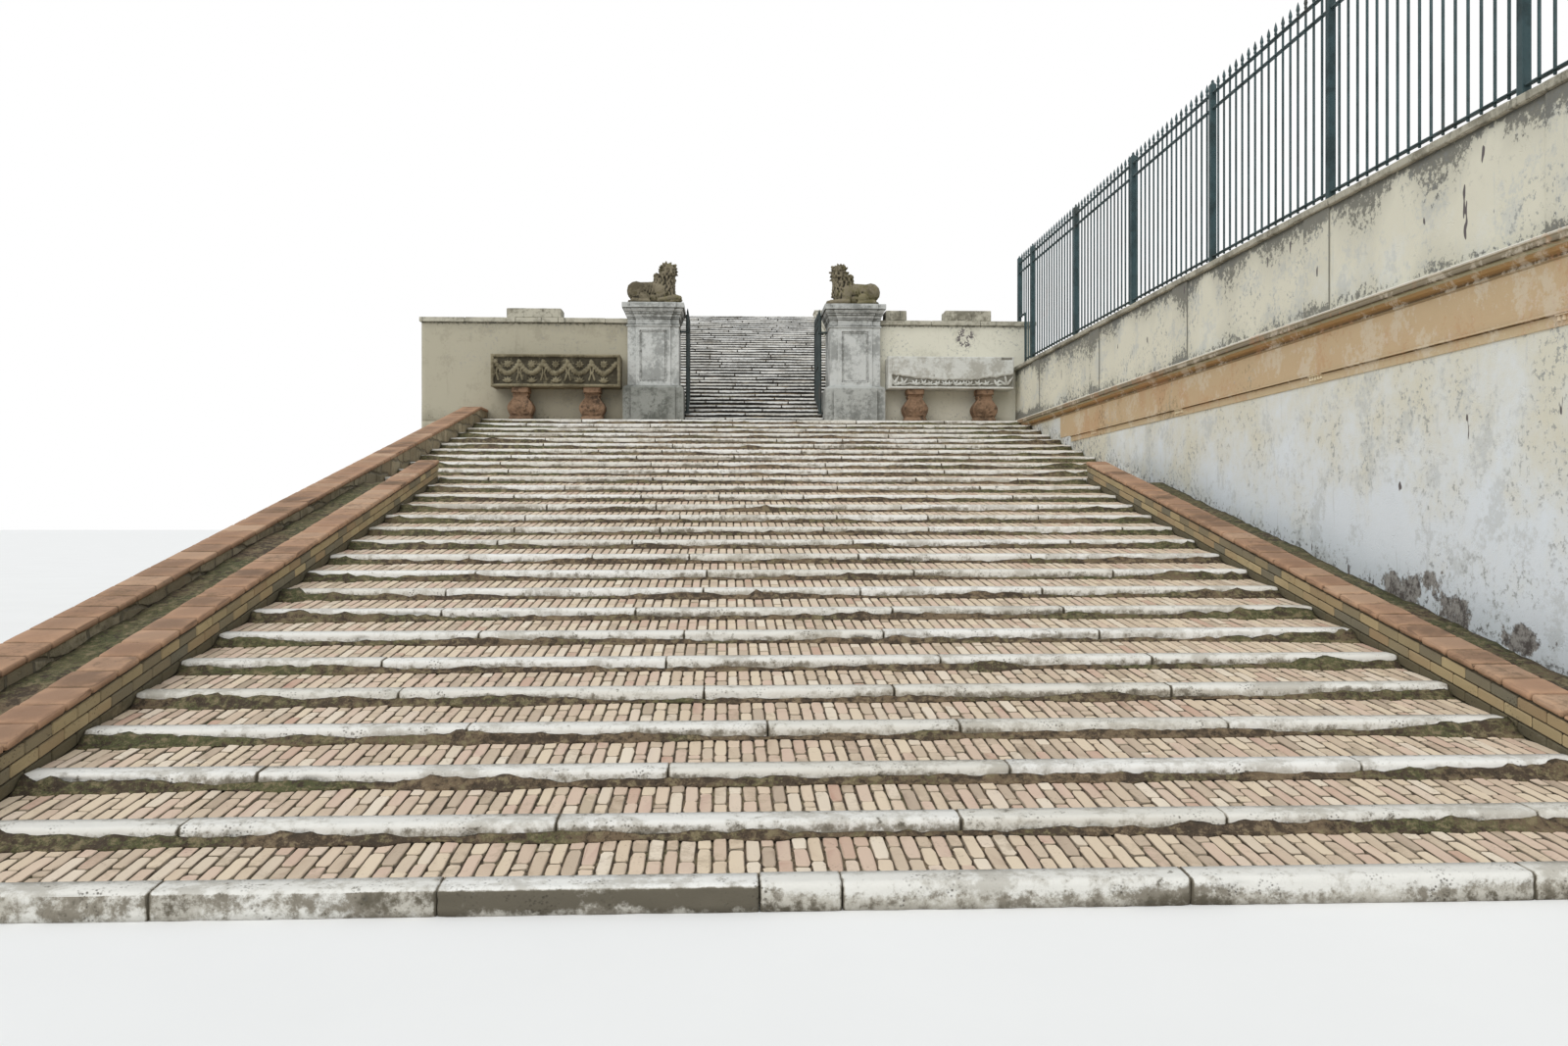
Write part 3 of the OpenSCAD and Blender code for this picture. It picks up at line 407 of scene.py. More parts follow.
def build_edges(t, _):
    point = t.node("ShaderNodeNewGeometry").outputs["Pointiness"]
    where = t.where()
    rough = t.times(t.minus(t.noise(where, 40.0), 0.5), 0.03)
    moved = t.plus(point, rough)
    return t.band(moved, 0.51, 0.56), t.minus(1.0, t.band(moved, 0.43, 0.495))


GRAIN = group("Stone grain", {"Scale": 1.0}, ("Fine", "Speckle", "Blotch", "Pits", "Height"), build_grain)
WEATHER = group("Weathering", {}, ("Runs", "Patches"), build_weather)
EDGES = group("Edge wear", {}, ("Edges", "Hollows"), build_edges)
print("node groups:", [g.name for g in bpy.data.node_groups])

# %% A material from its colours
def material(name, build, bump, rough=(0.78, 0.95), metallic=0.0, grain=1.0):
    made = bpy.data.materials.new(name)
    made.use_nodes = True
    t = Tree(made.node_tree)
    shader = made.node_tree.nodes["Principled BSDF"]
    stone = t.node("ShaderNodeGroup", node_tree=GRAIN)
    stone.inputs["Scale"].default_value = grain
    weather = t.node("ShaderNodeGroup", node_tree=WEATHER)
    edges = t.node("ShaderNodeGroup", node_tree=EDGES)
    e = SimpleNamespace(**{s.name: s for n in (stone, weather, edges) for s in n.outputs})
    # Wear reads the points' wear: dirt and wear, and painted shade on nosings, strips, piers, lions and
    # chests.
    e.Tone, e.Wear = t.attribute("tone"), t.attribute("wear")
    base = build(t, e)
    links = made.node_tree.links
    links.new(base, shader.inputs["Base Color"])
    shine = t.node("ShaderNodeMapRange", {0: e.Blotch, 1: 0.3, 2: 0.7, 3: rough[0], 4: rough[1]})
    links.new(shine.outputs[0], shader.inputs["Roughness"])
    shader.inputs["Metallic"].default_value = metallic
    shader.inputs["Specular IOR Level"].default_value = 0.3
    lumps = t.node("ShaderNodeBump", {"Height": e.Height, "Distance": bump, "Strength": 0.8})
    links.new(lumps.outputs[0], shader.inputs["Normal"])
    return made


def ragged(t, mask, e, low, high, spread, by="Speckle"):
    """A soft mask given a broken edge: its value is shaken by the speckle, then cut sharply."""
    shaken = t.plus(mask, t.times(t.minus(getattr(e, by), 0.5), spread))
    return t.band(shaken, low, high)


MATERIALS = {}


def keep(**finishes):
    MATERIALS.update(finishes)
    print("finishes:", *finishes)


print("sockets of the grain:", *(socket.name for socket in GRAIN.interface.items_tree))

# %% Mottled stone
def stone_like(light, dark, stain, share=0.5):
    """A mottled stone: two colours in blotches, stain in runs, darker in hollows, paler worn edges."""
    def build(t, e):
        base = t.mix(ragged(t, e.Blotch, e, 0.42, 0.62, 0.6), light, dark)
        base = t.over(base, stain, e.Pits, 0.7)
        dirt = t.most(t.times(e.Runs, share), e.Wear)
        base = t.over(base, stain, ragged(t, dirt, e, 0.38, 0.75, 1.5), 0.8)
        base = t.over(base, stain, e.Hollows, 0.7)
        return t.over(base, light, e.Edges, 0.5)
    return build


keep(
    coping=material("Lichened coping stone", stone_like(
        tint(182, 178, 162), tint(120, 116, 102), tint(50, 50, 44), 0.9), 0.006),
    chest=material("Pale chest stone", stone_like(
        tint(204, 205, 199), tint(172, 170, 161), tint(106, 102, 90), 0.4), 0.005),
    chest_brown=material("Brown chest stone", stone_like(
        tint(132, 124, 101), tint(92, 85, 66), tint(42, 38, 29), 0.5), 0.006),
    support=material("Reddish support stone", stone_like(
        tint(138, 111, 88), tint(100, 79, 61), tint(54, 44, 34), 0.5), 0.006),
    mortar=material("Old dark mortar", stone_like(
        tint(92, 84, 68), tint(68, 62, 48), tint(44, 40, 31)), 0.01))

# %% [markdown]
# The treads and kerbs are bricks of many firings, the nosings travertine and the low copings
# terracotta. A picture of each would be quick. Numbers at each point let every stone differ: its
# tone picks a colour from a ramp, and its wear lays dirt over it.

# %% Brick and soil
def build_brick(t, e):
    shade = t.ramp(e.Tone, [
        (0.0, tint(150, 130, 115)), (0.16, tint(198, 178, 155)), (0.34, tint(210, 193, 169)),
        (0.52, tint(193, 164, 149)), (0.68, tint(180, 160, 139)), (0.84, tint(219, 207, 190)),
        (1.0, tint(171, 130, 114))])
    dirt = ragged(t, t.plus(e.Wear, t.minus(e.Patches, 0.42)), e, 0.3, 0.6, 1.1)
    shade = t.over(shade, tint(120, 100, 78), dirt, 0.55)
    shade = t.mix(t.band(e.Wear, 0.45, 0.95), shade, tint(66, 54, 42))
    shade = t.over(shade, tint(84, 70, 56), e.Pits, 0.5)
    return t.over(shade, tint(230, 214, 188), e.Edges, 0.3)


def build_soil(t, e):
    base = t.mix(ragged(t, e.Blotch, e, 0.42, 0.6, 0.9), tint(74, 62, 49), tint(110, 94, 74))
    where = t.where()
    side = t.math("ABSOLUTE", t.parts(where)[0])
    damp = t.plus(e.Patches, t.times(t.band(side, 1.0, 4.4), 0.16))
    base = t.over(base, tint(78, 84, 50), ragged(t, damp, e, 0.55, 0.68, 1.5), 0.75)
    base = t.over(base, tint(150, 132, 106), t.band(e.Speckle, 0.5, 0.62), 0.55)
    base = t.over(base, tint(48, 42, 32), t.band(e.Speckle, 0.47, 0.38), 0.6)
    return t.over(base, tint(150, 134, 108), t.band(e.Fine, 0.58, 0.7), 0.5)


keep(
    brick=material("Brick laid on edge", build_brick, 0.003),
    soil=material("Soil and moss", build_soil, 0.02))

# %% Nosing stone, kerb brick and terracotta
def nosing_like(top_light, top_dark, face_light, face_dark, spread, foot, cut=0.86, soft=0.29):
    """Nosing stone: wear runs from 0 on the rubbed top to 1 at the foot, dirt and painted shade."""
    def build(t, e):
        top = t.mix(ragged(t, e.Blotch, e, 0.46, 0.66, 0.8), top_light, top_dark)
        face = t.mix(ragged(t, e.Patches, e, 0.42, 0.58, 0.7), face_light, face_dark)
        base = t.mix(ragged(t, e.Wear, e, 0.42, 0.8, spread), top, face)
        base = t.mix(ragged(t, e.Wear, e, cut, cut + soft, spread * 0.8), base, foot)
        shade = t.mix(e.Tone, tint(232, 229, 222), tint(252, 252, 252))
        base = t.mix(0.8, base, shade, "MULTIPLY")
        lichen = t.times(t.band(e.Speckle, 0.6, 0.66), t.band(e.Patches, 0.44, 0.56))
        base = t.over(base, tint(92, 88, 78), lichen, 0.75)
        return t.over(base, tint(78, 72, 62), e.Pits, 0.85)
    return build


def build_kerb_brick(t, e):
    shade = t.ramp(e.Tone, [
        (0.0, tint(122, 116, 98)), (0.25, tint(140, 128, 102)), (0.5, tint(178, 160, 122)),
        (0.75, tint(160, 138, 106)), (1.0, tint(190, 172, 132))])
    dark = ragged(t, t.plus(e.Wear, t.minus(e.Patches, 0.5)), e, 0.35, 0.7, 1.1)
    shade = t.over(shade, tint(84, 78, 58), dark, 0.7)
    return t.over(shade, tint(60, 54, 42), e.Pits, 0.6)


def build_terracotta(t, e):
    shade = t.ramp(e.Tone, [
        (0.0, tint(114, 91, 73)), (0.35, tint(164, 131, 106)), (0.7, tint(140, 110, 88)),
        (1.0, tint(178, 149, 124))])
    dark = ragged(t, t.plus(e.Wear, t.minus(e.Blotch, 0.45)), e, 0.35, 0.65, 1.1)
    shade = t.over(shade, tint(92, 78, 60), dark, 0.6)
    shade = t.mix(t.band(e.Wear, 0.75, 1.1), shade, tint(56, 48, 38))
    return t.over(shade, tint(208, 166, 132), e.Edges, 0.4)


keep(
    # The face colours are darker than the top's and the foot darker still: dirt, with painted shade under
    # the nose.
    nosing=material("Pitted nosing stone", nosing_like(
        tint(228, 227, 222), tint(196, 193, 185), tint(192, 188, 178), tint(136, 130, 118), 1.3,
        tint(98, 92, 79)), 0.006),
    # Its near-black foot covers the lower half of each front: painted shade under the nose, with soil.
    nosing_far=material("Nosing stone of the upper flight", nosing_like(
        tint(226, 227, 225), tint(190, 189, 185), tint(204, 205, 204), tint(184, 184, 181), 0.35,
        tint(36, 35, 32), 0.5, 0.14), 0.006),
    kerb=material("Yellow kerb brick", build_kerb_brick, 0.005),
    terracotta=material("Terracotta coping", build_terracotta, 0.004))

# %% [markdown]
# The walls are lime render, with bands painted ochre. Stains, cracks and peeled patches lie in
# layers over the base colour, each through a mask with a ragged edge. A soft mask looks sprayed.

# %% Render and painted bands
def render_like(low, high, mottle, stain, cracked=False):
    """Lime render: one colour low down and one high up, mottled, stained and peeled in patches.

    Where tone is high a cracked wall has branching cracks. The other walls have upright scars."""
    def build(t, e):
        where = t.where()
        height = t.parts(where)[2]
        climb = t.plus(height, t.times(t.minus(e.Patches, 0.5), 6.0))
        base = t.mix(t.band(climb, 1.2, 3.6), low, high)
        base = t.over(base, mottle, ragged(t, e.Blotch, e, 0.52, 0.66, 0.7), 0.5)
        faint = t.times(ragged(t, e.Runs, e, 0.5, 1.0, 0.9), 0.3)
        base = t.mix(faint, base, mottle)
        soot = ragged(t, e.Wear, e, 0.42, 0.66, 1.7)
        soft = t.times(e.Wear, 0.35)
        base = t.mix(t.most(t.times(soot, 0.8), soft), base, stain)
        spots = t.times(t.band(e.Speckle, 0.54, 0.62), t.band(e.Patches, 0.46, 0.58))
        base = t.over(base, tint(140, 143, 142), spots, 0.65)
        if cracked:
            from_middle = t.math("ABSOLUTE", t.minus(t.noise(where, 3.4, 5.0, 0.7), 0.5))
            scars = t.times(t.band(from_middle, 0.034, 0.02), t.band(e.Tone, 0.4, 0.55))
        else:
            drawn = t.drawn(where, (7.0, 7.0, 2.0))
            scars = t.band(t.noise(drawn, 1.1, 2.5, 0.5), 0.725, 0.74)
        base = t.mix(scars, base, tint(104, 98, 98))
        peel = ragged(t, e.Tone, e, 0.72, 0.75, 0.9, "Patches")
        e.Height = t.minus(e.Height, t.times(peel, 1.5))
        rubble = t.mix(t.band(e.Speckle, 0.4, 0.62), tint(166, 162, 156), tint(92, 86, 82))
        return t.mix(peel, base, rubble)
    return build


def build_bands(t, e):
    """The painted bands: tone runs from the cornice's top edge, white as a painted highlight, down to the
    cream wall.
    """
    # The dark stops at 0.2 and 0.46 are painted shadow under the projections; the white at 0.0 is a painted
    # highlight.
    base = t.ramp(e.Tone, [
        (0.0, tint(236, 234, 224)), (0.1, tint(176, 164, 140)), (0.2, tint(70, 60, 46)),
        (0.27, tint(196, 190, 160)), (0.36, tint(178, 142, 94)), (0.46, tint(88, 70, 48)),
        (0.54, tint(208, 186, 150)), (0.66, tint(206, 181, 145)), (0.8, tint(208, 188, 152)),
        (1.0, tint(220, 208, 178))])
    red = ragged(t, e.Patches, e, 0.52, 0.6, 0.5)
    base = t.over(base, tint(196, 148, 108), red, 0.4)
    pale = ragged(t, e.Blotch, e, 0.52, 0.64, 0.8)
    base = t.over(base, tint(222, 212, 192), pale, 0.55)
    dirt = ragged(t, t.times(e.Wear, 0.8), e, 0.5, 0.8, 1.6)
    return t.over(base, tint(110, 92, 66), dirt, 0.6)


keep(
    wall=material("Weathered lime render", render_like(
        tint(236, 243, 248), tint(227, 224, 206), tint(198, 202, 200), tint(84, 84, 80)), 0.004),
    end_wall=material("Cream render", render_like(
        tint(210, 207, 190), tint(214, 211, 195), tint(194, 191, 174), tint(100, 96, 82),
        cracked=True), 0.004),
    end_wall_left=material("Cream render in the shade", render_like(
        tint(167, 161, 142), tint(171, 165, 146), tint(151, 146, 128), tint(82, 78, 66),
        cracked=True), 0.004),
    bands=material("Ochre bands", build_bands, 0.004))

# %% [markdown]
# The railing and the gate are old painted iron, where noise lets rust through. The piers and lions
# could have finishes of their own, but they start from the mottled stone, so that all stone ages
# alike. The rubble is Blender's brick pattern, made uneven by noise.

# %% Painted iron
def iron_like(paint, faded):
    """Painted iron: patchy old paint, rust that comes through it and rubbed edges."""
    def build(t, e):
        base = t.mix(t.band(e.Blotch, 0.4, 0.65), faded, paint)
        rust = t.times(t.band(e.Patches, 0.55, 0.68), t.band(e.Fine, 0.45, 0.6))
        base = t.over(base, tint(104, 68, 44), rust, 0.7)
        return t.over(base, tint(88, 102, 102), e.Edges, 0.35)
    return build


keep(
    iron=material("Blue-green painted iron", iron_like(tint(36, 52, 54), tint(50, 72, 76)),
                  0.001, (0.45, 0.7), 0.35, 2.0),
    gate_iron=material("Dark gate iron", iron_like(tint(30, 33, 33), tint(42, 46, 46)),
                       0.001, (0.5, 0.75), 0.35, 2.0))

# %% Pier stone, lion stone and rubble
def build_pier(t, e):
    """Pier stone: tone tells the pale die and cap from the darker base."""
    light = t.mix(t.band(e.Tone, 0.1, 0.7), tint(140, 142, 136), tint(196, 198, 195))
    dark = t.mix(t.band(e.Tone, 0.1, 0.7), tint(96, 98, 92), tint(150, 152, 149))
    return stone_like(light, dark, tint(76, 76, 70), 0.25)(t, e)


def build_lion(t, e):
    """Brown stone with a yellow-green lichen on it."""
    base = stone_like(tint(126, 117, 97), tint(86, 79, 62), tint(34, 31, 24), 0.4)(t, e)
    lichen = ragged(t, e.Patches, e, 0.52, 0.6, 0.8)
    return t.over(base, tint(112, 107, 68), lichen, 0.45)


def build_masonry(t, e):
    """Coursed rubble: rows of uneven stones with sunken mortar, drawn along the wall and upwards."""
    where = t.where()
    parts = t.parts(where)
    shaken = t.times(t.minus(t.noise(where, 2.2, 3.0), 0.5), 0.22)
    along = t.plus(t.plus(parts[0], parts[1]), shaken)
    flat = t.node("ShaderNodeCombineXYZ", {0: along, 1: t.plus(parts[2], shaken)}).outputs[0]
    rows = t.node("ShaderNodeTexBrick", {
        "Vector": flat, "Scale": 1.0, "Mortar Size": 0.022, "Mortar Smooth": 0.7, "Brick Width": 0.46,
        "Row Height": 0.21, "Color1": tint(196, 184, 156), "Color2": tint(146, 132, 106),
        "Mortar": tint(168, 160, 140)}, offset=0.5, squash=0.7, squash_frequency=3)
    base = t.mix(ragged(t, e.Blotch, e, 0.42, 0.62, 0.6), rows.outputs[0], tint(158, 147, 122))
    base = t.over(base, tint(112, 104, 86), rows.outputs[1], 0.6)
    dirt = ragged(t, t.most(t.times(e.Runs, 0.5), e.Wear), e, 0.38, 0.75, 1.5)
    base = t.over(base, tint(92, 86, 70), dirt, 0.6)
    e.Height = t.minus(e.Height, t.times(rows.outputs[1], 1.4))
    return t.over(base, tint(84, 78, 64), e.Pits, 0.6)


keep(
    pier=material("Grey pier stone", build_pier, 0.006),
    lion=material("Brown lion stone", build_lion, 0.008),
    masonry=material("Rubble masonry", build_masonry, 0.03))

# %% [markdown]
# ## The lower flight
#
# Each tread is a bed of bricks set on edge between two stone nosings. The bricks stand with their
# long side along the way up, a long piece and a short piece in turn, so the bond shifts from column
# to column. An Array modifier would repeat one brick, and old bricks all differ. So numpy places
# the corners of thousands at once in one mesh, and a tone number gives each its own colour.

# %% A brick and how it is laid
FINE_RING = [(-1, -0.55), (-0.93, -0.86), (-0.7, -1), (0.7, -1), (0.93, -0.86), (1, -0.55),
             (1, 0.55), (0.93, 0.86), (0.7, 1), (-0.7, 1), (-0.93, 0.86), (-1, 0.55)]
PLAIN_RING = [(-1, -1), (1, -1), (1, 1), (-1, 1)]
# for each degree of detail, the rings of a brick from its foot up: (inset, height, soil on it)
BRICK_RINGS = (((0.0, -0.05, 1.0), (0.004, 0.0, 0.0)),
               ((0.0, -0.05, 1.4), (0.0, -0.008, 1.1), (0.006, 0.0, 0.0)),
               ((0.0, -0.05, 1.4), (0.0, -0.013, 1.2), (0.001, -0.004, 0.55), (0.006, 0.0, 0.0)))


def brick_skin(sides, levels):
    """Faces of a stack of rings with a cap at each end."""
    faces = []
    for level in range(levels - 1):
        for k in range(sides):
            a, b = level * sides + k, level * sides + (k + 1) % sides
            faces.append((a, b, b + sides, a + sides))
    faces.append(tuple(range(sides))[::-1])
    faces.append(tuple(range((levels - 1) * sides, levels * sides)))
    return faces


def lay_bricks(pile, centre, half, slope, fine, rng):
    """Bricks given by the centre of their top and their half sizes across and along."""
    ring = np.array(FINE_RING if fine > 1 else PLAIN_RING)
    insets = BRICK_RINGS[fine]
    count, sides = len(centre), len(ring)
    tilt = rng.normal(0, 0.006, (count, 2))
    levels = []
    for inset, depth, _ in insets:
        xy = ring[None] * (half[:, None] - inset)
        xy = xy + rng.normal(0, 0.002 if fine > 1 else 0.0012, xy.shape)
        lift = xy[..., 1] * (slope + tilt[:, None, 1]) + xy[..., 0] * tilt[:, None, 0]
        z = centre[:, None, 2] + lift + depth
        if fine > 1 and depth == 0.0:
            z = z - np.abs(rng.normal(0, 0.0012, z.shape))
        levels.append(np.concatenate([centre[:, None, :2] + xy, z[..., None]], -1))
    points = np.stack(levels, 1).reshape(count, -1, 3)
    each = len(insets) * sides
    skin = brick_skin(sides, len(insets))
    tones = np.repeat(rng.random(count), each)
    soiled = np.repeat([level[2] for level in insets], sides)
    wears = (unit(rng.normal(0.15, 0.25, count))[:, None] * 0.6 + soiled).reshape(-1)
    start = pile.count
    pile.points.append(points.reshape(-1, 3))
    pile.tone.append(tones)
    pile.wear.append(wears)
    for k in range(count):
        offset = start + k * each
        pile.faces.extend([i + offset for i in face] for face in skin)
    pile.count += count * each


print("a fine brick has", len(brick_skin(len(FINE_RING), len(BRICK_RINGS[2]))), "faces")

# %% Treads of the lower flight
def tread(pile, x0, x1, y0, y1, z0, climb, fine, rng, pitch=0.075, long_share=0.66, joint=0.009):
    """One bed of bricks on edge from y0 to y1, its columns alternately long and short first."""
    columns = max(1, round((x1 - x0) / pitch))
    edges = np.linspace(x0, x1, columns + 1)
    edges[1:-1] += rng.normal(0, 0.0025, columns - 1)
    slope = climb / (y1 - y0)
    centre, half = [], []
    for k in range(columns):
        if long_share >= 1:
            cuts = [y0, y1]
        else:
            share = long_share if k % 2 else 1 - long_share
            cuts = [y0, y0 + (y1 - y0) * (share + rng.normal(0, 0.03)), y1]
            if rng.random() < 0.14:
                cuts.insert(1, y0 + 0.16 * (y1 - y0))
        for a, b in zip(cuts, cuts[1:]):
            y = (a + b) / 2
            z = z0 + slope * (y - y0) - 0.002 - abs(rng.normal(0, 0.003))
            centre.append(((edges[k] + edges[k + 1]) / 2, y, z))
            half.append(((edges[k + 1] - edges[k] - joint) / 2, (b - a - 1.5 * joint) / 2))
    lay_bricks(pile, np.array(centre), np.array(half), slope, fine, rng)


rng = np.random.default_rng(7)
for label, first, last, fine in (("near", 0, 5, 2), ("middle", 5, 15, 1), ("far", 15, LOWER_STEPS - 1, 0)):
    pile = Pile()
    for n in range(first, last):
        half = lower_half(n)
        tread(pile, -half, half, lower_y(n) + NOSE_DEPTH, lower_y(n + 1), lower_top(n), BED_CLIMB, fine, rng)
    piece(f"lower_bricks_{label}", pile, "brick")

# %% [markdown]
# The bricks lie in a bed of soil and old mortar, which shows in the joints below their tops. It
# could be painted between them, but a joint that is really deep has its shadow from every side. A
# bumpy closed sheet under each tread takes the place of the frame's flat beds.

# %% Beds of soil under the bricks
def soil_bed(pile, low, high, climb, cell, seed, sink=0.017, rough=0.006):
    points, faces = shell(spaced(low[0], high[0], cell), spaced(low[1], high[1], cell), (low[2], high[2]))
    share = (points[:, 1] - low[1]) / (high[1] - low[1])
    top = points[:, 2] > (low[2] + high[2]) / 2
    points[:, 2] += np.where(top, climb * share - sink + rough * field(points, 0.11, seed, 2), 0)
    pile.add(points, faces, 0.5, 0.5)


pile = Pile()
for n in range(LOWER_STEPS - 1):
    half = lower_half(n)
    soil_bed(pile, (-half, lower_y(n) + NOSE_DEPTH, lower_top(n) - BED_DEPTH),
             (half, lower_y(n + 1), lower_top(n)), BED_CLIMB, 0.1 if n < 4 else 0.16, n)
piece("lower_soil", pile, "soil", ["lower_brick_beds"])

# %% [markdown]
# ## Nosing stones
#
# The nosings are long stones of pale travertine with a rounded front edge. Their tops are rubbed
# white by feet; their fronts are full of pits and darker, with dirt and with painted shade under the
# nose. Bevelled cubes would stay too even. Each stone is a section drawn along the step, whose rings
# the random field moves inward: chips on the edge, pits below.

# %% Sweeping a section along a line
def swept(rings):
    """Faces that join rings of equal length, with the two ends closed."""
    m, k = rings.shape[:2]
    i = np.arange(m - 1)[:, None] * k
    j = np.arange(k)[None]
    nxt = (j + 1) % k
    quads = np.stack([i + j, i + nxt, i + k + nxt, i + k + j], -1).reshape(-1, 4)
    return [*quads, np.arange(k)[::-1], np.arange((m - 1) * k, m * k)]


print("a box of three rings has", len(swept(np.zeros((3, 4, 3)))), "faces")

# %% Nosings of the lower flight
def nosing(pile, x0, x1, y, top, height, depth, radius, cell, seed, tall=0.0, wander=0.3):
    """One nosing stone from x0 to x1 with its front at y and its top at the given height."""
    stations = np.linspace(x0 + 0.012, x1 - 0.012, max(2, round((x1 - x0) / cell) + 1))
    stations = np.concatenate([[x0], stations, [x1]])
    arc = [math.radians(a) for a in (180, 157, 135, 112, 90)]
    section = [(depth, -height), (0.004, -height), (0.0, -height * 0.72), (0.0, -height * 0.46)]
    section += [(radius + radius * math.cos(a), -radius + radius * math.sin(a)) for a in arc]
    section += [(depth * 0.6, 0.0), (depth, 0.0)]
    section = np.array(section)
    # Wear down the section, highest at the foot of the front: dirt and pits, with painted shade under the
    # nose.
    dark = np.array([1.1, 1, 0.95, 0.7, 0.5, 0.32, 0.18, 0.08, 0.05, 0.05, 0.2])
    out = np.array([(0, 0), (1, 0), (1, 0), (1, 0), (1, 0), (0.9, -0.3), (0.7, -0.7), (0.3, -0.9),
                    (0, -1), (0, -0.4), (0, 0)])
    rings = np.empty((len(stations), len(section), 3))
    rings[..., 0] = stations[:, None]
    rings[..., 1] = y + section[None, :, 0]
    rings[..., 2] = top + section[None, :, 1]
    pits = unit(field(rings, 0.07, seed, 2)) * 0.010 + np.abs(field(rings, 0.4, seed + 1)) * 0.004
    chips = unit(field(rings, 0.16, seed + 2) - 0.42) * 0.06
    amount = 0.001 + pits + chips * ((dark > 0.06) & (dark < 0.9))
    rings[..., 1] += amount * out[None, :, 0]
    rings[..., 2] += amount * out[None, :, 1] * 0.8
    ends = np.minimum(stations - x0, x1 - stations)
    pinch = unit(1 - ends / 0.03) ** 2 * 0.006
    rings[..., 1] += pinch[:, None] * out[None, :, 0]
    rings[..., 2] += pinch[:, None] * out[None, :, 1]
    shade = np.broadcast_to(dark, rings.shape[:2]) + wander * field(rings, 0.5, seed + 4)
    if tall:
        fade = tall * np.interp(section[:, 1], [-height, -height * 0.5, -radius * 0.5], [0.68, 1.0, 0.85])
        streaks = 0.45 * field(rings * (1, 1, 0.25), 0.16, seed + 5, 3)
        shade = np.where(dark > 0.25, fade + streaks, shade)
    shade = shade + 0.9 * (ends < 0.006)[:, None]
    pile.add(rings, swept(rings), random.random(), np.clip(shade, 0, 1.3).reshape(-1))


random.seed(11)


def joints(x0, x1, rng, short=0.9, long=2.2):
    marks = [x0]
    while x1 - marks[-1] > long:
        marks.append(marks[-1] + rng.uniform(short, long))
    if x1 - marks[-1] < 0.5 * short:
        marks.pop()
    return marks + [x1]


FIRST_JOINTS = [-KERB_X, -2.987, -1.778, -0.391, -0.029, 1.52, 3.089, KERB_X]
for label, first, last, cell in (("near", 0, 7, 0.032), ("middle", 7, 17, 0.055), ("far", 17, 28, 0.11)):
    pile = Pile()
    for n in range(first, last):
        half = lower_half(n)
        marks = FIRST_JOINTS if n == 0 else joints(-half, half, rng)
        for a, b in zip(marks, marks[1:]):
            drop = rng.uniform(0, 0.004)
            tall = 0.0 if n else 1.5 if -1.8 < a < -0.5 else 0.85 if a < -0.5 else 0.0
            nosing(pile, a + 0.003, b - 0.003, lower_y(n), lower_top(n) - drop, NOSE_HEIGHT - drop,
                   NOSE_DEPTH, 0.034, cell, 100 + n, tall)
    replaced = ["lower_nosings"] if first == 0 else []
    piece(f"lower_nosing_stones_{label}", pile, "nosing", replaced, smooth=True)

# %% [markdown]
# Soil, dry litter and moss gather where a tread meets the next riser, most of all near the kerbs,
# where no one treads. Scattered crumbs would cost many triangles, so each bank is one low, ragged
# fillet whose size wanders with the random field.

# %% Banks of soil along the risers
def bank(pile, x0, x1, y, z, cell, seed, width=0.085, height=0.05):
    """A ragged fillet whose back stands against a riser at y and whose foot lies at z."""
    xs = np.linspace(x0, x1, max(2, round((x1 - x0) / cell) + 1))
    base = np.stack([xs, np.full_like(xs, y), np.full_like(xs, z)], -1)
    side = unit((np.abs(xs) / max(abs(x0), abs(x1)) - 0.72) / 0.28)
    size = 0.25 + 0.9 * unit(field(base, 0.6, seed, 4) + 0.35) + 0.6 * side
    size = size * (1 + 0.5 * field(base, 0.09, seed + 5, 2))
    section = np.array([(0.012, -0.012), (-1.0, -0.012), (-0.86, 0.05), (-0.5, 0.3), (-0.2, 0.8),
                        (0.012, 1.0)])
    rings = np.empty((len(xs), len(section), 3))
    rings[..., 0] = xs[:, None]
    reach = np.where(section[:, 0] < 0, section[:, 0] * width, section[:, 0])
    climb = np.where(section[:, 1] > 0, section[:, 1] * height, section[:, 1])
    rings[..., 1] = y + reach[None] * size[:, None]
    rings[..., 2] = z + climb[None] * size[:, None] + reach[None] * size[:, None] * 0.09
    rings[..., 2] += 0.017 * field(rings, 0.07, seed + 9, 3) * (climb[None] > 0.001)
    pile.add(rings, swept(rings), 0.5, 0.6)


pile = Pile()
for n in range(LOWER_STEPS - 1):
    half = lower_half(n) - 0.01
    cell = 0.035 if n < 7 else 0.07 if n < 14 else 0.13
    bank(pile, -half, half, lower_y(n + 1), lower_top(n) + BED_CLIMB, cell, 300 + n)
piece("lower_riser_soil", pile, "soil", smooth=True)

# %% [markdown]
# ## Kerbs, their copings and the earth beside them
#
# A low kerb of bricks runs up each side of the kerbed steps. Two courses of yellow brick show above
# courses that are greened over, and rounded terracotta units cap it. Each brick stands out a
# little from a mortar body. Boxes could be turned to the slope, but then their joints would lean.
# So all is laid out level and sheared, and the joints stay upright.

# %% Measures of the kerbs
KERB_END, COPE_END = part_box("kerb_bricks")[1].y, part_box("kerb_copings")[1].y
KERB_LIFT, COURSE_PITCH, COURSE_HEIGHT = 0.29, 0.075, 0.066
BRICK_PITCH, BRICK_LENGTH = 0.26, 0.25
BROKEN_UNITS = (1, 4)


def on_slope(y):
    return y * STEP_RISE / STEP_GOING


def sheared(points):
    points = np.array(points, float)
    points[:, 2] += on_slope(points[:, 1])
    return points


def joint_dirt(points, y0, y1):
    """Dark where a unit meets its neighbour."""
    return 1.1 * np.exp(-(np.minimum(points[:, 1] - y0, y1 - points[:, 1]) / 0.011) ** 2)


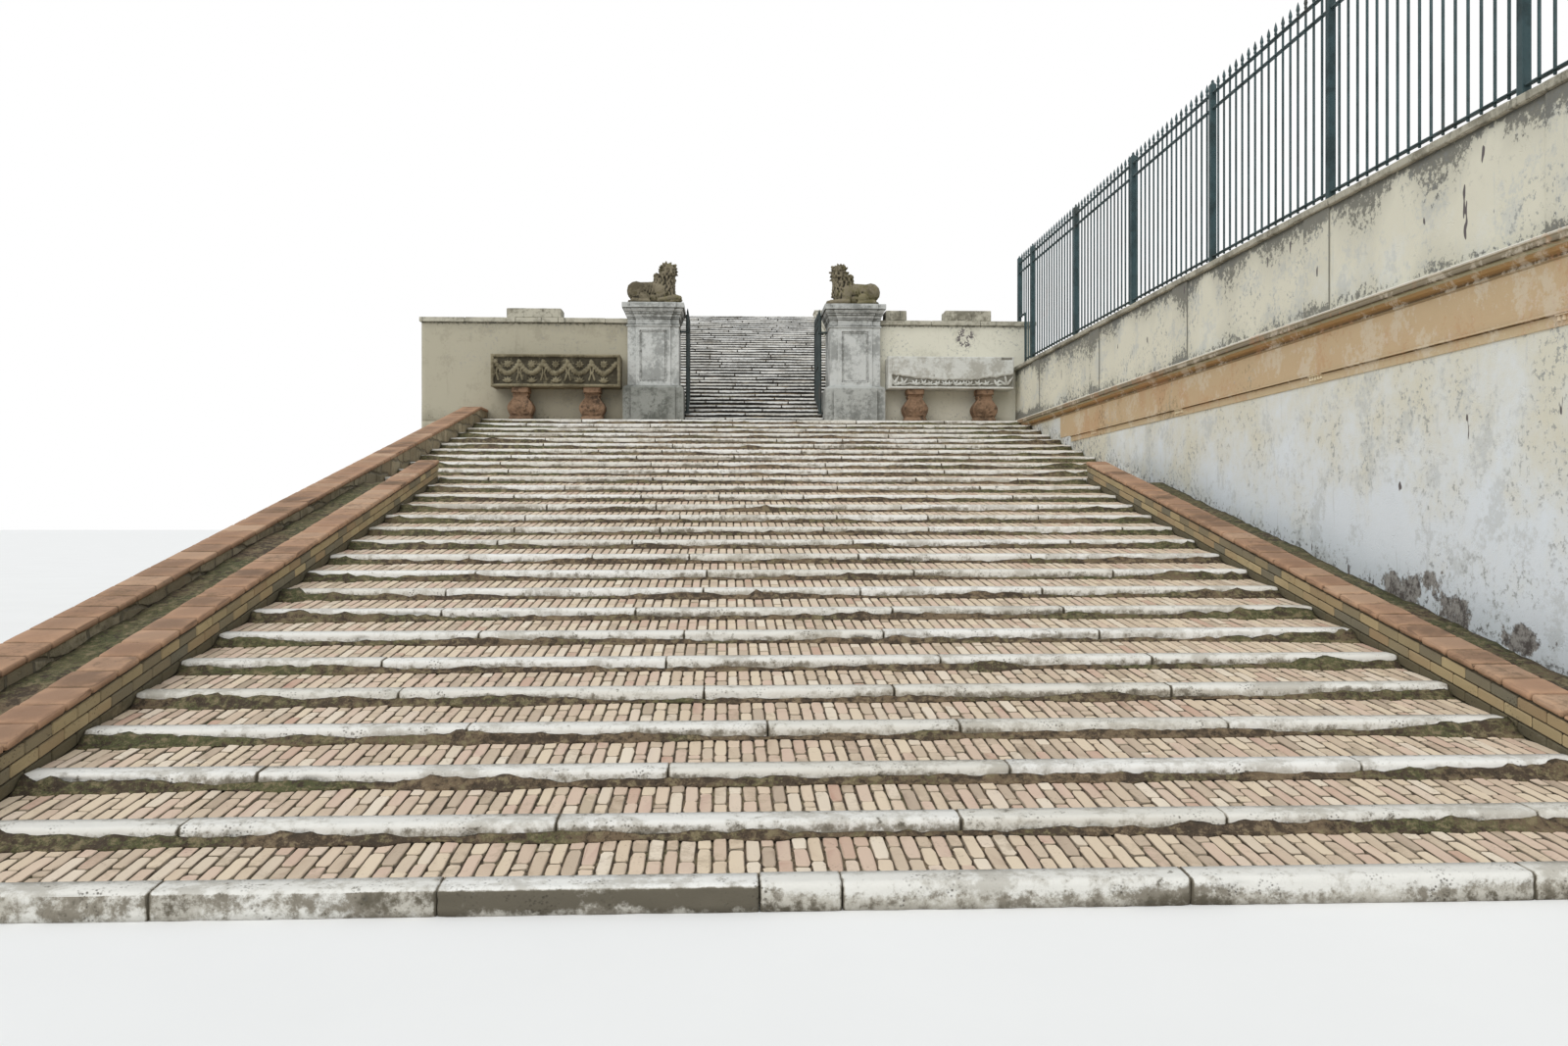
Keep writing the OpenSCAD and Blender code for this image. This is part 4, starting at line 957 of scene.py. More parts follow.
print("kerb runs to", round(KERB_END, 3), "coping to", round(COPE_END, 3))

# %% Kerb bodies, bricks and copings
def kerb_body(pile, inner, outer):
    points, faces = shell(spaced(inner + 0.013, outer - 0.013, 0.12), spaced(0.01, KERB_END - 0.004, 0.12),
                          (-0.24, -0.05, 0.1, 0.2, KERB_LIFT - 0.002))
    points = sheared(points)
    points[:, 2] = np.maximum(points[:, 2], 0.001)
    points[:, 0] += 0.004 * field(points, 0.1, 40)
    pile.add(points, faces, 0.5, 0.6)


def kerb_courses(pile, inner, outer):
    """Four courses from the top down. The two lower ones are dark, and stop at the ground."""
    for course in range(4):
        z = KERB_LIFT - 0.006 - COURSE_PITCH * (course + 1)
        start = -BRICK_PITCH / 2 * (course % 2)
        while start < KERB_END - 0.05:
            y0, y1 = max(start, 0.002), min(start + BRICK_LENGTH, KERB_END - 0.002)
            start += BRICK_PITCH
            if y1 - y0 <= 0.06 or on_slope((y0 + y1) / 2) + z <= 0.0:
                continue
            points, faces = chamfered((inner + 0.001, y0, z), (outer - 0.001, y1, z + COURSE_HEIGHT))
            points[:, 0] += 0.003 * field(points, 0.12, course)
            tone = rng.random() * (1 if course < 2 else 0.25)
            pile.add(sheared(points), faces, tone, 0.2 if course < 2 else 0.8)


def kerb_copes(pile, inner, outer, side):
    """Rounded units from the front up. Two on the right are broken low."""
    y, number = 0.0, 0
    while y < COPE_END - 0.12:
        length = min(rng.uniform(0.265, 0.295), COPE_END - y)
        top = KERB_LIFT + 0.053 + min(rng.normal(0, 0.0015), 0.001)
        points, faces = worn_block((inner - 0.013, y + 0.005, KERB_LIFT + 0.001),
                                   (outer + 0.013, y + length - 0.005, top),
                                   0.08, 0.022, 0.004, 0.06, number + 50 * side + 60, 0.03)
        if side > 0 and number in BROKEN_UNITS:
            points[:, 2] = KERB_LIFT + (points[:, 2] - KERB_LIFT) * (0.25 + 0.5 * rng.random())
        dirt = joint_dirt(points, y, y + length)
        pile.add(sheared(points), faces, rng.random(), rng.random() * 0.4 + dirt)
        y += length
        number += 1


body, bricks, caps = Pile(), Pile(), Pile()
for side in (-1, 1):
    inner, outer = sorted((side * KERB_X, side * (KERB_X + KERB_WIDTH)))
    kerb_body(body, inner, outer)
    kerb_courses(bricks, inner, outer)
    kerb_copes(caps, inner, outer, side)
piece("kerb_mortar", body, "mortar", ["kerb_bricks"])
piece("kerb_courses", bricks, "kerb")
piece("kerb_coping_units", caps, "terracotta", ["kerb_copings"], smooth=True)

# %% [markdown]
# ## The landing, the gateway and the upper flight
#
# The landing is paved with the same bricks. Beyond the gate the flight is steeper, and from below
# only the fronts of its steps show: a pale worn edge above a dark foot, soiled and with painted
# shade under the nose. Flat strips would do for that view. The same functions in coarser steps
# build it whole, so it holds from all sides.

# %% Landing and upper flight
pile = Pile()
low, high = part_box("landing_paving")
y = low.y
while y < high.y - 0.05:
    y1 = min(y + 0.44, high.y)
    tread(pile, low.x, high.x, y, y1, high.z, 0.0, 0, rng)
    y = y1
soil = Pile()
soil_bed(soil, low, high, 0.0, 0.14, 401)
low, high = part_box("top_landing")
tread(pile, low.x, high.x, low.y, high.y, high.z, 0.0, 0, rng)
soil_bed(soil, low, high, 0.0, 0.14, 402)
piece("landing_bricks", pile, "brick", ["landing_paving", "top_landing"])

pile = Pile()
for n in range(UPPER_STEPS - 1):
    half = upper_half(n)
    y0, y1 = upper_y(n) + UPPER_NOSE_DEPTH, upper_y(n + 1)
    tread(pile, -half, half, y0, y1, upper_top(n), UPPER_BED_CLIMB, 0, rng, long_share=1.0)
    soil_bed(soil, (-half, y0, upper_top(n) - BED_DEPTH), (half, y1, upper_top(n)), UPPER_BED_CLIMB, 0.2,
             500 + n)
piece("upper_bricks", pile, "brick", ["upper_brick_beds"])
piece("upper_soil", soil, "soil")

pile, soil = Pile(), Pile()
for n in range(UPPER_STEPS):
    half = upper_half(n)
    marks = joints(-half, half, rng, 0.7, 1.6)
    for a, b in zip(marks, marks[1:]):
        drop = rng.uniform(0, 0.005)
        nosing(pile, a + 0.004, b - 0.004, upper_y(n), upper_top(n) - drop, UPPER_NOSE_HEIGHT - drop,
               UPPER_NOSE_DEPTH, 0.026, 0.13, 600 + n, wander=0.12)
    if n:
        bank(soil, 0.01 - half, half - 0.01, upper_y(n), upper_top(n - 1) + UPPER_BED_CLIMB, 0.17, 700 + n,
             0.05, 0.034)
piece("upper_nosing_stones", pile, "nosing_far", ["upper_nosings"], smooth=True)
piece("upper_riser_soil", soil, "soil", smooth=True)

# %% [markdown]
# ## Earth beside the kerbs and the low flank wall
#
# Strips of earth lie between each kerb and the wall beside it. The low wall on the left carries a
# coping of terracotta units like the kerbs. Both could be sculpted. Here the random field moves the
# points of a closed box, so that no edge comes open and the top follows the slope.

# %% Earth strips
low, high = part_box("earth_strips")
pile = Pile()
EARTH_LIFT = 0.25
for side in (-1, 1):
    x0, x1 = sorted((side * (KERB_X + KERB_WIDTH), side * WALL_X))
    points, faces = shell(spaced(x0, x1, 0.055), spaced(low.y, high.y, 0.09), (-0.3, EARTH_LIFT))
    top = points[:, 2] > 0
    points = sheared(points)
    lump = 0.03 * field(points, 0.5, 801, 4) + 0.012 * field(points, 0.08, 802)
    run_out = unit((high.y - points[:, 1]) / 0.9)
    run_out = run_out * unit((points[:, 1] - low.y) / 0.9 + 0.1)
    points[:, 2] += np.where(top, lump - 0.035 - EARTH_LIFT * (1 - run_out), 0)
    floor_z = np.maximum(0.0, on_slope(points[:, 1]) - 0.3)
    points[:, 2] = np.maximum(points[:, 2], floor_z + 0.001 * top)
    pile.add(points, faces, 0.5, 0.6)
piece("earth", pile, "soil", ["earth_strips"], smooth=True)

# %% Left flank wall
low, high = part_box("left_flank_wall")
cap_low, cap_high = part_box("left_flank_coping")
BEND_Y = lower_y(LOWER_STEPS - 1)


def flank_line(y):
    return on_slope(np.minimum(y, BEND_Y)) + KERB_LIFT


def shell_under(low, high, line, cell, z_lines, seed, rough):
    """A wall between two X planes whose top follows a line of Y."""
    ys = spaced(low.y, high.y, cell)
    points, faces = shell(spaced(low.x, high.x, cell * 1.5), ys, np.linspace(0, 1, z_lines))
    points[:, 2] *= line(points[:, 1]) - low.z
    points[:, 2] += low.z
    push = rough * np.abs(field(points, 0.22, seed, 3)) + 0.001
    points[:, 0] += np.where(points[:, 0] > (low.x + high.x) / 2, -push, push)
    return points, faces


pile = Pile()
pile.add(*shell_under(low, high, lambda y: flank_line(y) - 0.002, 0.16, 16, 820, 0.012), 0.5, 0.35)
piece("left_flank_masonry", pile, "masonry", ["left_flank_wall"])
pile = Pile()
y, number = cap_low.y, 0
while y < cap_high.y - 0.05:
    length = min(rng.uniform(0.27, 0.3), cap_high.y - y)
    points, faces = worn_block((cap_low.x + 0.001, y + 0.003, 0.001),
                               (cap_high.x - 0.001, y + length - 0.003, 0.053),
                               0.11, 0.018, 0.003, 0.07, 900 + number, 0.015)
    points[:, 2] += flank_line(points[:, 1])
    pile.add(points, faces, rng.random(), rng.random() * 0.4 + joint_dirt(points, y, y + length))
    y += length
    number += 1
piece("left_flank_units", pile, "terracotta", ["left_flank_coping"], smooth=True)

# %% [markdown]
# ## The side wall
#
# The wall is old lime render over masonry. It bellies a little, and near the ground its skin has
# peeled in patches. The mesh stores how dirty each point is: darker under the coping, above the
# cornice and at the foot. The material breaks that number up into streaks. Dirt painted by hand
# would have to be painted again whenever a height changes.

# %% Rendered wall
side_low, side_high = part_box("side_wall")
cornice_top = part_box("side_cornice")[1].z


def footing(points):
    """Where a wall's face meets the flight on its inner side and the ground on its outer side."""
    outer = points[:, 0] > (side_low.x + side_high.x) / 2
    return np.where(outer, 0, np.maximum(0, on_slope(points[:, 1])))


def rendered(low, high, cell, seed, dirt, rough=0.006, across=4):
    points, faces = shell(np.linspace(low.x, high.x, across), spaced(low.y, high.y, cell),
                          spaced(low.z, high.z, cell))
    push = rough * np.abs(field(points, 0.9, seed, 3))
    push = push + 0.002 * np.abs(field(points, 0.12, seed + 1)) + 0.001
    middle = (low.x + high.x) / 2
    points[:, 0] += np.where(points[:, 0] > middle, -push, push)
    near_foot = unit(1 - (points[:, 2] - footing(points) - 0.35) / 0.5)
    near_foot *= np.where(points[:, 0] > middle, 0.55, points[:, 1] < 5)
    spots = unit(field(points, 0.34, seed + 5, 3) * 1.1 + 0.1)
    peel = unit(0.25 + 0.42 * near_foot + 0.3 * spots)
    lost = 0.008 * unit((peel - 0.62) / 0.12)
    points[:, 0] += np.where(points[:, 0] > middle, -lost, lost)
    return points, faces, peel, unit(dirt(points))


def side_dirt(points):
    z, noise = points[:, 2], field(points * (1, 1, 0.25), 0.55, 832, 4)
    under_coping = unit(1 - (side_high.z - z) / np.maximum(0.5 + 0.8 * noise, 0.05))
    over_cornice = unit(1 - (z - cornice_top) / (0.3 + 0.4 * noise)) * (z > cornice_top - 0.01)
    foot = unit(1 - (z - footing(points) - 0.25) / (0.3 + 0.3 * noise))
    return 0.8 * under_coping + 0.7 * over_cornice + 0.45 * foot


pile = Pile()
pile.add(*rendered(side_low, side_high, 0.1, 831, side_dirt))
piece("side_render", pile, "wall", ["side_wall"], smooth=True)

# %% Strips on the parapet
strip_low, strip_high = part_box("side_strips")
STRIP_HALF = 0.24
STRIPS_Y = [15.82 - 3.38 * i for i in range(5)]
pile = Pile()
for i, y in enumerate(STRIPS_Y):
    for x0, x1 in ((strip_low.x, side_low.x + 0.02), (side_high.x - 0.02, strip_high.x)):
        points, faces = worn_block((x0 + 0.001, y - STRIP_HALF, strip_low.z + 0.002),
                                   (x1 - 0.001, y + STRIP_HALF, strip_high.z - 0.002),
                                   0.08, 0.006, 0.004, 0.3, 850 + i)
        # The near side of each strip gets a high wear, which the wall's finish turns dark: painted shade on
        # that narrow face.
        edge = 1.2 * (points[:, 1] < y - STRIP_HALF + 0.005)
        pile.add(points, faces, 0.2, np.clip(0.18 + edge + side_dirt(points), 0, 1.3))
piece("side_strip_render", pile, "wall", ["side_strips"])

# %% [markdown]
# ## Cornice, frieze and architrave
#
# The cornice is one long moulding. Its section is drawn once and carried along the wall, with the
# wear pulling every ring a little inward. The tone number follows the section, so the material can
# paint each moulding in its own ochre, as they are on the wall. It also paints shadow under the
# projections and a highlight on the cornice's top.

# %% Sections of the mouldings
def moulding(pile, section, tones, x_face, out_sign, y0, y1, cell, seed, wear=0.004):
    """A section of (out, z) points carried along Y; out is measured from the wall's face."""
    ys = np.linspace(y0, y1, max(2, round((y1 - y0) / cell) + 1))
    section = np.array(section)
    rings = np.empty((len(ys), len(section), 3))
    rings[..., 1] = ys[:, None]
    loss = wear * np.abs(field(np.stack(np.broadcast_arrays(
        section[None, :, 0], ys[:, None], section[None, :, 1]), -1), 0.13, seed, 3))
    outward = (section[None, :, 0] > 0.001)
    rings[..., 0] = x_face + out_sign * (section[None, :, 0] - loss * outward - 0.0005)
    rings[..., 2] = section[None, :, 1] - 0.4 * loss * outward
    shade = np.broadcast_to(np.array(tones)[None], rings.shape[:2]).reshape(-1)
    dirt = unit(0.35 + 0.7 * field(rings, 0.8, seed + 3, 3)).reshape(-1)
    pile.add(rings, swept(rings), shade, dirt)


CORNICE = [(-0.02, 3.415), (0.008, 3.415), (0.012, 3.418), (0.022, 3.42), (0.024, 3.438), (0.016, 3.444),
           (0.022, 3.452), (0.042, 3.464), (0.052, 3.486), (0.053, 3.492), (0.06, 3.494), (0.062, 3.508),
           (0.094, 3.511), (0.099, 3.516), (0.1, 3.55), (0.108, 3.556), (0.109, 3.571), (0.1, 3.578),
           (-0.02, 3.579)]
# Tones near 0.2 under the corona and near 0.44 in the groove are painted shadow; 0.0 on the top is a painted
# highlight.
CORNICE_TONES = [0.6, 0.55, 0.52, 0.5, 0.44, 0.42, 0.38, 0.36, 0.36, 0.3, 0.27, 0.26, 0.2, 0.16, 0.12, 0.1,
                 0.02, 0.0, 0.0]
FRIEZE = [(-0.02, 3.072), (0.006, 3.072), (0.0075, 3.075), (0.0075, 3.2), (0.0075, 3.33), (0.0075, 3.412),
          (-0.02, 3.412)]
FRIEZE_TONES = [0.62, 0.62, 0.64, 0.66, 0.7, 0.66, 0.66]
ARCHITRAVE = [(-0.02, 2.972), (0.0085, 2.972), (0.0095, 2.976), (0.0095, 3.03), (0.012, 3.046),
              (0.03, 3.051), (0.0315, 3.054), (0.0315, 3.065), (0.029, 3.069), (-0.02, 3.0695)]
# The tones 0.46 and 0.42 under the fillet are painted shadow.
ARCHITRAVE_TONES = [0.9, 0.86, 0.8, 0.74, 0.46, 0.42, 0.56, 0.56, 0.5, 0.46]
print("points in the sections:", len(CORNICE), len(FRIEZE), len(ARCHITRAVE))

# %% The three bands and their guttae
GUTTA = ((3.04, 0.0115), (3.036, 0.0125), (3.012, 0.0172), (3.0055, 0.0185), (3.004, 0.016))


def guttae(pile, x_face, sign, y):
    """A flat strip under the architrave with five drops below it, given as (z, radius)."""
    xs = sorted((x_face, x_face + sign * 0.029))
    pile.add(*worn_block((xs[0], y - 0.124, 3.039), (xs[1], y + 0.124, 3.051), 0.1, 0.003), 0.85, 0.3)
    a = np.linspace(0, 2 * math.pi, 11)[:-1]
    for drop in range(-2, 3):
        rings = np.array([np.stack([x_face + sign * 0.0095 + r * 0.95 * np.cos(a),
                                    y + 0.05 * drop + r * np.sin(a), np.full(10, z)], -1) for z, r in GUTTA])
        pile.add(rings, swept(rings), 0.95, 0.2)


for name, section, tones, slot in (
        ("side_cornice", CORNICE, CORNICE_TONES, "ochre_render"),
        ("side_frieze", FRIEZE, FRIEZE_TONES, "ochre_render"),
        ("side_architrave", ARCHITRAVE, ARCHITRAVE_TONES, "cream_render")):
    low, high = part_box(name)
    pile = Pile()
    for x_face, sign, cell in ((side_low.x, -1, 0.07), (side_high.x, 1, 0.2)):
        moulding(pile, section, tones, x_face, sign, low.y + 0.001, high.y - 0.001, cell, 860)
    if name == "side_architrave":
        for y in STRIPS_Y[1:]:
            guttae(pile, side_low.x, -1, y)
            guttae(pile, side_high.x, 1, y)
    piece(name + "_mouldings", pile, "bands", [name])

# %% [markdown]
# ## The wall's coping
#
# Slabs of stone cap the wall. One long bar with drawn joints would be lighter. As separate worn
# blocks they have open joints, and their tops differ by a few millimetres.

# %% Coping slabs
def slabs(pile, low, high, axis, length, cell, seed, gap=0.004, corner=0.012, chips=0.02):
    """A row of worn slabs that fills a box along an axis."""
    low, high = list(low), list(high)
    marks = joints(low[axis], high[axis], rng, length * 0.8, length * 1.2)
    for k, (a, b) in enumerate(zip(marks, marks[1:])):
        p, q = list(low), list(high)
        p[axis], q[axis] = a + gap / 2, b - gap / 2
        q[2] -= rng.uniform(0, 0.004)
        points, faces = worn_block(p, q, cell, corner, 0.003, 0.14, seed + k, chips)
        pile.add(points, faces, rng.random(), 0.15 + 0.35 * rng.random())


low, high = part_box("side_coping")
pile = Pile()
slabs(pile, low, high, 1, 1.15, 0.1, 1000)
piece("side_coping_slabs", pile, "coping", ["side_coping"])

# %% [markdown]
# ## The railing
#
# Six whole bays of wrought iron and a closing bay. Each bar is forged round iron that swells into
# a leaf-shaped spear above the top rails, and it passes through flat rails. A curve with a bevel
# could make it. A list of heights and radii gives the shaft and spear in one closed mesh.

# %% Bars
RAIL_HALF_WIDTH, RAIL_HALF_HEIGHT = 0.0218, 0.0078


def rod(pile, x, y, stations, sides=8, turn=0.0):
    """A turned bar: stations are (z, radius) from the foot to the tip."""
    a = np.linspace(0, 2 * math.pi, sides + 1)[:-1] + turn
    rings = np.array([np.stack([x + r * np.cos(a), y + r * np.sin(a), np.full(sides, z)], -1)
                      for z, r in stations])
    pile.add(rings, swept(rings), 0.5, 0.3)


def spear_bar(pile, x, y, z0, z1, radius=0.0125, length=0.105, width=0.0195):
    neck = z1 - length
    rod(pile, x, y, [
        (z0, radius * 0.9), (z0 + 0.006, radius), (neck - 0.03, radius), (neck - 0.012, radius * 1.35),
        (neck, radius * 0.95), (neck + length * 0.28, width), (neck + length * 0.62, width * 0.66),
        (z1, 0.0012)])


def flat_bar(pile, low, high, cell=0.25, corner=0.003):
    points, faces = worn_block(low, high, cell, corner, 0.0008, 0.2, 3)
    pile.add(points, faces, 0.5, 0.3)


def rail(pile, x, y0, y1, z):
    flat_bar(pile, (x - RAIL_HALF_WIDTH, y0, z - RAIL_HALF_HEIGHT),
             (x + RAIL_HALF_WIDTH, y1, z + RAIL_HALF_HEIGHT))


sample = Pile()
spear_bar(sample, 0, 0, 0, 2)
print("a spear bar has", len(sample.faces), "faces")

# %% Six whole bays
RAIL_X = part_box("railing_panel_1")[0].x + 0.022
LOW_RAIL, *TOP_RAILS = 4.76, 6.46, 6.64
BAR_PITCH, BAY_BARS = 0.1614, 16
for bay in range(1, 7):
    name = f"railing_panel_{bay}"
    low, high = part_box(name)
    pile = Pile()
    start = low.y + (high.y - low.y - (BAY_BARS - 1) * BAR_PITCH) / 2
    for k in range(BAY_BARS):
        spear_bar(pile, RAIL_X, start + BAR_PITCH * k, low.z, high.z)
    for z in (LOW_RAIL, *TOP_RAILS):
        rail(pile, RAIL_X, low.y, high.y, z)
    piece(f"railing_bay_{bay}", pile, "iron", [name])

# %% Posts
posts_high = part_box("railing_posts")[1]
BASE_Z = side_high.z + 0.07
POST_Y, POST_PITCH, POST_HALF, PLATE_HALF = 16.75, 2.744, 0.0345, 0.034
# the turned point of a post: (height from its tip, radius)
POINT = [(-0.061, 0.045), (-0.045, 0.028), (-0.03, 0.016), (-0.018, 0.02), (-0.006, 0.012), (0, 0.003)]


def post(pile, y, foot, point):
    """A square post that stands on its foot height, with a turned point."""
    flat_bar(pile, (RAIL_X - POST_HALF, y - POST_HALF, foot),
             (RAIL_X + POST_HALF, y + POST_HALF, posts_high.z - 0.06), 0.4, 0.005)
    rod(pile, RAIL_X, y, [(posts_high.z + z, r) for z, r in point], 4, math.pi / 4)


pile = Pile()
for i in range(7):
    y = POST_Y - POST_PITCH * i
    post(pile, y, BASE_Z, POINT)
    flat_bar(pile, (RAIL_X - PLATE_HALF, y - PLATE_HALF, BASE_Z),
             (RAIL_X + PLATE_HALF, y + PLATE_HALF, BASE_Z + 0.012), 0.4, 0.003)
post(pile, posts_high.y - 0.035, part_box("end_coping_right")[1].z, POINT[:3] + POINT[-1:])
piece("railing_post_bars", pile, "iron", ["railing_posts"])
print("posts reach", round(posts_high.z, 3), "last at", round(posts_high.y, 3))

# %% The closing bay, which steps up over the end wall
STAY_Y, STAY_HALF, STAY_TOP, RAISED_RAIL = 17.282, 0.0198, 5.626, 5.619
LOW_FOOT, RAISED_FOOT = 4.726, 5.585
low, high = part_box("railing_end_panel")
pile = Pile()
for k in range(1, 6):
    y = POST_Y + BAR_PITCH * k
    spear_bar(pile, RAIL_X, y, LOW_FOOT if y < STAY_Y else RAISED_FOOT, high.z)
rail(pile, RAIL_X, low.y, STAY_Y, LOW_RAIL)
rail(pile, RAIL_X, STAY_Y, high.y, RAISED_RAIL)
for z in TOP_RAILS:
    rail(pile, RAIL_X, low.y, high.y, z)
flat_bar(pile, (RAIL_X - STAY_HALF, STAY_Y - STAY_HALF, BASE_Z),
         (RAIL_X + STAY_HALF, STAY_Y + STAY_HALF, STAY_TOP), 0.3, 0.004)
piece("railing_closing_bay", pile, "iron", ["railing_end_panel"])

# %% [markdown]
# ## End walls
#
# Two rendered walls close the landing on either side of the gateway. Their copings are thick
# slabs, and three loose stone blocks lie on them. A plain box would do for each wall. A fine grid
# lets the render belly, and each of its points can say whether the skin has peeled there.

# %% End walls, their copings and the loose blocks
PEELED_X, PEELED_Z = 3.95, 5.15
END_WALL_X = 1.87
# middle, width and height of each loose block
LOOSE_BLOCKS = ((-4.06, 1.0, 0.18), (4.01, 0.87, 0.20), (2.65, 0.4, 0.19))


def end_dirt(points, wall_top):
    """Dirt under the coping and at the foot, where the wall stands on the landing."""
    noise = field(points * (1, 1, 0.3), 0.5, 1101, 4)
    top = unit(1 - (wall_top - points[:, 2]) / (0.16 + 0.3 * noise))
    foot = unit(1 - (points[:, 2] - LANDING_Z) / (0.25 + 0.4 * noise))
    return 0.6 * top + 0.6 * foot * (points[:, 2] > LANDING_Z)


for side, sign, finish in (("left", -1, "end_wall_left"), ("right", 1, "end_wall")):
    low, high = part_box(f"end_wall_{side}")
    outer = max(-low.x, high.x)
    pile = Pile()
    for inner, z0, z1 in ((END_WALL_X, LANDING_Z, high.z), (WALL_X, 0.0, LANDING_Z)):
        xs = sorted((sign * inner, sign * outer))
        points, faces = shell(spaced(*xs, 0.07), np.linspace(low.y, high.y, 4), spaced(z0, z1, 0.07))
        push = 0.004 * np.abs(field(points, 0.7, 1110, 3)) + 0.0015
        points[:, 1] += np.where(points[:, 1] > (low.y + high.y) / 2, -push, push)
        points[:, 0] -= sign * np.where(np.abs(points[:, 0]) > outer - 0.01, push, 0)
        spot = np.exp(-((points[:, 0] - PEELED_X) / 0.22) ** 2 - ((points[:, 2] - PEELED_Z) / 0.24) ** 2)
        pile.add(points, faces, 0.2 + 0.5 * spot, unit(end_dirt(points, high.z)))
    piece(f"end_render_{side}", pile, finish, [f"end_wall_{side}"], smooth=True)
    low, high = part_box(f"end_coping_{side}")
    pile = Pile()
    slabs(pile, low, high, 0, 0.95, 0.09, 1150, chips=0.03)
    piece(f"end_coping_slabs_{side}", pile, "coping", [f"end_coping_{side}"])

low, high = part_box("coping_blocks")
pile = Pile()
for k, (x, w, h) in enumerate(LOOSE_BLOCKS):
    pile.add(*worn_block((x - w / 2, low.y, low.z), (x + w / 2, high.y, low.z + h), 0.07, 0.016, 0.005, 0.15,
                         1200 + k, 0.03), 0.4 + 0.1 * k, 0.3)
piece("loose_stone_blocks", pile, "coping", ["coping_blocks"])

# %% [markdown]
# ## Piers
#
# Each pier has a plain base, a die with a strip that breaks forward and a double-sunk panel, and
# a cap of a neck, bed mouldings and a slab. The plan is a square with a wider strip front and back,
# so the mesh is a stack of rings of that plan, each moved in or out by the profile.

# %% Rings of the pier's plan
DIE_HALF, DIE_HEIGHT = 0.47, 1.08
FRONT_HALF, FRONT_OUT = 0.32, 0.02


def plan_ring(out, cell):
    """Points round the die's plan, moved out by a distance; its front and back break forward."""
    h, s = DIE_HALF + out, FRONT_HALF + out
    f = h + FRONT_OUT
    corners = [(-h, -h), (-s, -h), (-s, -f), (s, -f), (s, -h), (h, -h),
               (h, h), (s, h), (s, f), (-s, f), (-s, h), (-h, h)]
    ring = []
    for (x0, y0), (x1, y1) in zip(corners, corners[1:] + corners[:1]):
        steps = max(1, round(math.hypot(x1 - x0, y1 - y0) / cell))
        ring += [(x0 + (x1 - x0) * k / steps, y0 + (y1 - y0) * k / steps) for k in range(steps)]
    return np.array(ring)


def plan_block(pile, centre, profile, cell, tone, rough, lines=()):
    """Stacked plan rings; the profile gives (height, how far out of the die's face)."""
    base = plan_ring(0.0, cell)
    levels = []
    for z, out in profile:
        ring = plan_ring(out, cell)
        if len(ring) != len(base):
            ring = base + np.sign(base) * np.where(np.abs(base) >= FRONT_HALF - 0.0001, out, 0)
        levels.append(np.column_stack([ring, np.full(len(base), z)]))
    rings = np.array(levels)
    length = np.linalg.norm(rings[..., :2], axis=-1, keepdims=True)
    loss = 0.0015 + rough * np.abs(field(rings + centre, 0.09, 1300, 3))
    loss = loss + 0.02 * unit(field(rings + centre, 0.2, 1304) - 0.5)
    rings[..., :2] -= rings[..., :2] / np.maximum(length, 1e-6) * loss[..., None]
    shade = 0.3 + 0.35 * field(rings + centre, 0.3, 1306, 3)
    # Dark lines at the given heights: painted shadow under the cap's mouldings.
    for z in lines:
        shade += 0.8 * np.exp(-((rings[..., 2] - z) / 0.007) ** 2)
    pile.add(rings + centre, swept(rings), tone, np.clip(shade, 0, 1.2).reshape(-1))


def levels_of(stops, cell):
    """Adds levels between the profile's stops so that no band is higher than a cell."""
    out = [stops[0]]
    for (z0, o0), (z1, o1) in zip(stops, stops[1:]):
        steps = max(1, round((z1 - z0) / cell))
        out += [(z0 + (z1 - z0) * k / steps, o0 + (o1 - o0) * k / steps) for k in range(1, steps + 1)]
    return out


print("points round the plan:", len(plan_ring(0.0, 0.05)))

# %% A carved plate and the pier's die
def relief(pile, centre, facing, width, height, cell, depth, back, tone, wear, marks_u=(), marks_v=()):
    """A closed plate whose front looks along Y or against it, carved by a depth function of (u, v)."""
    us = np.unique(np.concatenate([spaced(-width / 2, width / 2, cell), marks_u]).round(5))
    vs = np.unique(np.concatenate([spaced(-height / 2, height / 2, cell), marks_v]).round(5))
    u, v = np.meshgrid(us, vs, indexing="ij")
    d = depth(u, v)
    centre = np.array(centre, float)
    front = centre + np.stack([u, -facing * d, v], -1)
    a, b = u.shape
    number = np.arange(a * b).reshape(a, b)
    quads = np.stack([number[:-1, :-1], number[1:, :-1], number[1:, 1:], number[:-1, 1:]], -1).reshape(-1, 4)
    rim = np.concatenate([number[:, 0], number[-1, 1:], number[-2::-1, -1], number[0, -2:0:-1]])
    rear = front.reshape(-1, 3)[rim]
    rear[:, 1] = centre[1] - facing * back
    at_back = a * b + np.arange(len(rim))
    sides = np.stack([rim, at_back, np.roll(at_back, -1), np.roll(rim, -1)], -1)
    shade = np.concatenate([wear(u, v, d).reshape(-1), np.full(len(rim), 0.15)])
    points = np.concatenate([front.reshape(-1, 3), rear])
    pile.add(points, [*quads, *sides, at_back], tone, unit(shade))


PANEL_WIDTH, PANEL_HEIGHT, PANEL_BORDER, PANEL_SINK, ARRIS = 0.42, 0.87, 0.032, 0.014, 0.008
PLATE_WIDTH, PLATE_HEIGHT = 0.636, 1.078


def inside_panel(u, v, border):
    """How far each point lies inside the panel's outline, moved out by a border."""
    return np.minimum(PANEL_WIDTH / 2 + border - np.abs(u), PANEL_HEIGHT / 2 + border - np.abs(v))


